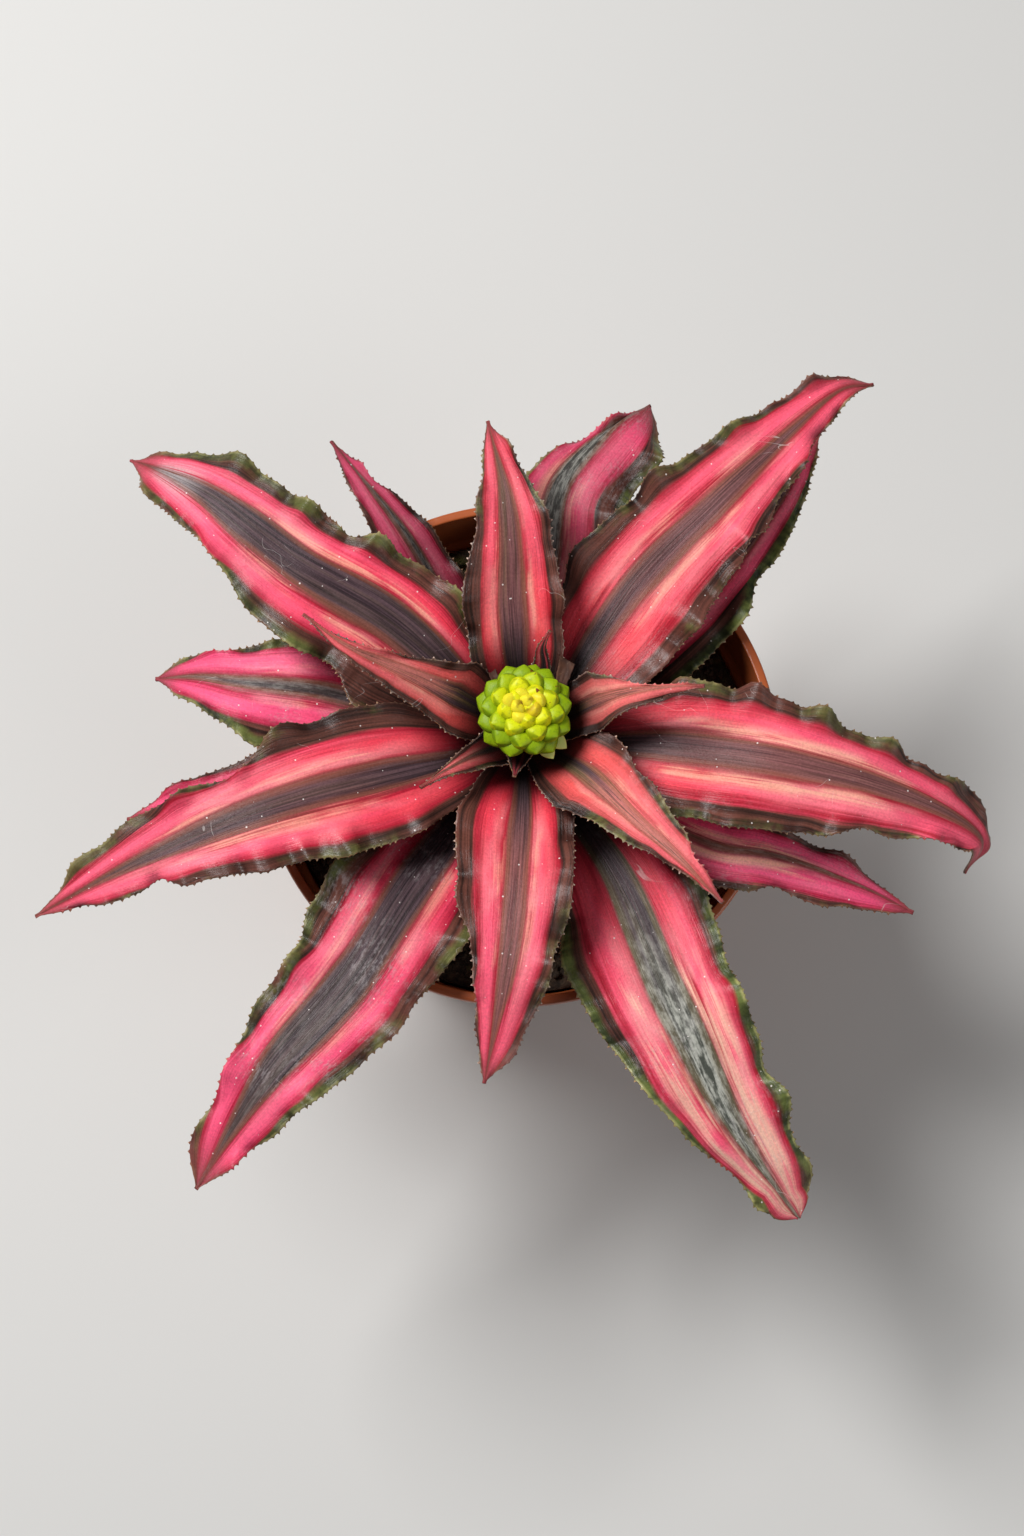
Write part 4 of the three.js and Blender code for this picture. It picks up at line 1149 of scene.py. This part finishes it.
@colour_settings(
    yellow=(0.78, 0.76, 0.006), lime=(0.42, 0.58, 0.004), dark_lime=(0.06, 0.14, 0.002),
    amber=(0.75, 0.55, 0.012), floret=(0.84, 0.72, 0.03), scar=(0.2, 0.06, 0.01), pale=(0.6, 0.68, 0.2),
)
class EARTHSTAR_PG_head(bpy.types.PropertyGroup):
    """The flower head's florets and colours."""

    florets: IntProperty(name="Florets", description="Dry florets in the middle", default=7, min=0)


@colour_settings(
    terracotta=(0.42, 0.1, 0.03), terracotta_dark=(0.3, 0.065, 0.022), dust=(0.3, 0.22, 0.16),
    soil=(0.022, 0.013, 0.008), soil_light=(0.09, 0.055, 0.032), moss=(0.13, 0.14, 0.02),
)
class EARTHSTAR_PG_pot(bpy.types.PropertyGroup):
    """Sizes and colours of the pot and what fills it."""

    steps: IntProperty(name="Steps", description="Faces round the pot", default=144, min=24)
    crumbs: IntProperty(name="Crumbs", description="Loose crumbs and bark on the soil", default=1500, min=0)


@colour_settings(
    floor=(0.64, 0.63, 0.61),
)
class EARTHSTAR_PG_stage(bpy.types.PropertyGroup):
    """Floor and light."""

    key_power: FloatProperty(name="Key light", description="Power of the large soft light",
                             default=17.5, unit="POWER")
    fill_power: FloatProperty(name="Fill light", description="Power of the fill light",
                              default=4.0, unit="POWER")
    world_strength: FloatProperty(name="Room light", description="Strength of the even light", default=0.11)


# ---------------------------------------------------------------- operators

class EARTHSTAR_OT_stage(bpy.types.Operator):
    """Makes the camera, the pale floor and the soft lights"""

    bl_idname = "earthstar.stage"
    bl_label = "Stage"

    def execute(self, context):
        settings = context.scene.earthstar_stage
        make_camera()
        make_floor(settings.floor)
        set_world(settings.world_strength)
        make_light("key", (-0.62, 0.38, 1.05), (0, 0, 0.1), 0.55, settings.key_power)
        make_light("fill", (0.9, -0.5, 0.8), (0, 0, 0.1), 0.8, settings.fill_power)
        context.scene.view_settings.view_transform = "Standard"
        return {"FINISHED"}


class EARTHSTAR_OT_pot(bpy.types.Operator):
    """Makes the nursery pot"""

    bl_idname = "earthstar.pot"
    bl_label = "Pot"

    def execute(self, context):
        settings = context.scene.earthstar_pot
        make_pot(settings, pot_finish(settings))
        return {"FINISHED"}


class EARTHSTAR_OT_soil(bpy.types.Operator):
    """Makes the potting mix that fills the pot"""

    bl_idname = "earthstar.soil"
    bl_label = "Soil"

    def execute(self, context):
        settings = context.scene.earthstar_pot
        make_soil(settings, [soil_finish(settings)])
        return {"FINISHED"}


class EARTHSTAR_OT_stem(bpy.types.Operator):
    """Makes the short stem"""

    bl_idname = "earthstar.stem"
    bl_label = "Stem"

    def execute(self, context):
        make_stem(stem_finish())
        return {"FINISHED"}


class EARTHSTAR_OT_leaves(bpy.types.Operator):
    """Makes the rosette's leaves"""

    bl_idname = "earthstar.leaves"
    bl_label = "Leaves"

    def execute(self, context):
        settings = context.scene.earthstar_leaf
        under = leaf_under_finish(settings)
        rim = leaf_rim_finish(settings)
        for order, leaf in enumerate(LEAVES):
            upper = leaf_top_finish(leaf, order, settings)
            make_leaf(leaf, order, settings, [upper, under, rim])
        return {"FINISHED"}


class EARTHSTAR_OT_dry_bracts(bpy.types.Operator):
    """Makes the dried scraps of old bracts beside the flower head"""

    bl_idname = "earthstar.dry_bracts"
    bl_label = "Dry bracts"

    def execute(self, context):
        paper = dry_bract_finish()
        for order, bract in enumerate(DRY_BRACTS):
            make_dry_bract(bract, order, paper)
        return {"FINISHED"}


class EARTHSTAR_OT_flower_head(bpy.types.Operator):
    """Makes the flower head with its bracts"""

    bl_idname = "earthstar.flower_head"
    bl_label = "Flower head"

    def execute(self, context):
        settings = context.scene.earthstar_head
        make_flower_head(settings, [flower_head_finish(settings)])
        return {"FINISHED"}


class EARTHSTAR_PT_panel(bpy.types.Panel):
    """Lists the pieces of the plant"""

    bl_idname = "EARTHSTAR_PT_panel"
    bl_label = "Earth Star"
    bl_space_type = "VIEW_3D"
    bl_region_type = "UI"
    bl_category = "Earth Star"

    def draw(self, context):
        for operator in OPERATORS:
            self.layout.operator(operator.bl_idname)


SETTINGS = {
    "earthstar_leaf": EARTHSTAR_PG_leaf,
    "earthstar_head": EARTHSTAR_PG_head,
    "earthstar_pot": EARTHSTAR_PG_pot,
    "earthstar_stage": EARTHSTAR_PG_stage,
}
OPERATORS = [
    EARTHSTAR_OT_stage,
    EARTHSTAR_OT_pot,
    EARTHSTAR_OT_soil,
    EARTHSTAR_OT_stem,
    EARTHSTAR_OT_leaves,
    EARTHSTAR_OT_dry_bracts,
    EARTHSTAR_OT_flower_head,
]


def register():
    for kind in (*SETTINGS.values(), *OPERATORS, EARTHSTAR_PT_panel):
        bpy.utils.register_class(kind)
    for name, kind in SETTINGS.items():
        setattr(bpy.types.Scene, name, PointerProperty(type=kind))


def unregister():
    for name in SETTINGS:
        delattr(bpy.types.Scene, name)
    for kind in reversed((*SETTINGS.values(), *OPERATORS, EARTHSTAR_PT_panel)):
        bpy.utils.unregister_class(kind)


def main():
    register()
    bpy.ops.earthstar.stage()
    bpy.ops.earthstar.pot()
    bpy.ops.earthstar.soil()
    bpy.ops.earthstar.stem()
    bpy.ops.earthstar.leaves()
    bpy.ops.earthstar.dry_bracts()
    bpy.ops.earthstar.flower_head()


if __name__ == "__main__":
    main()
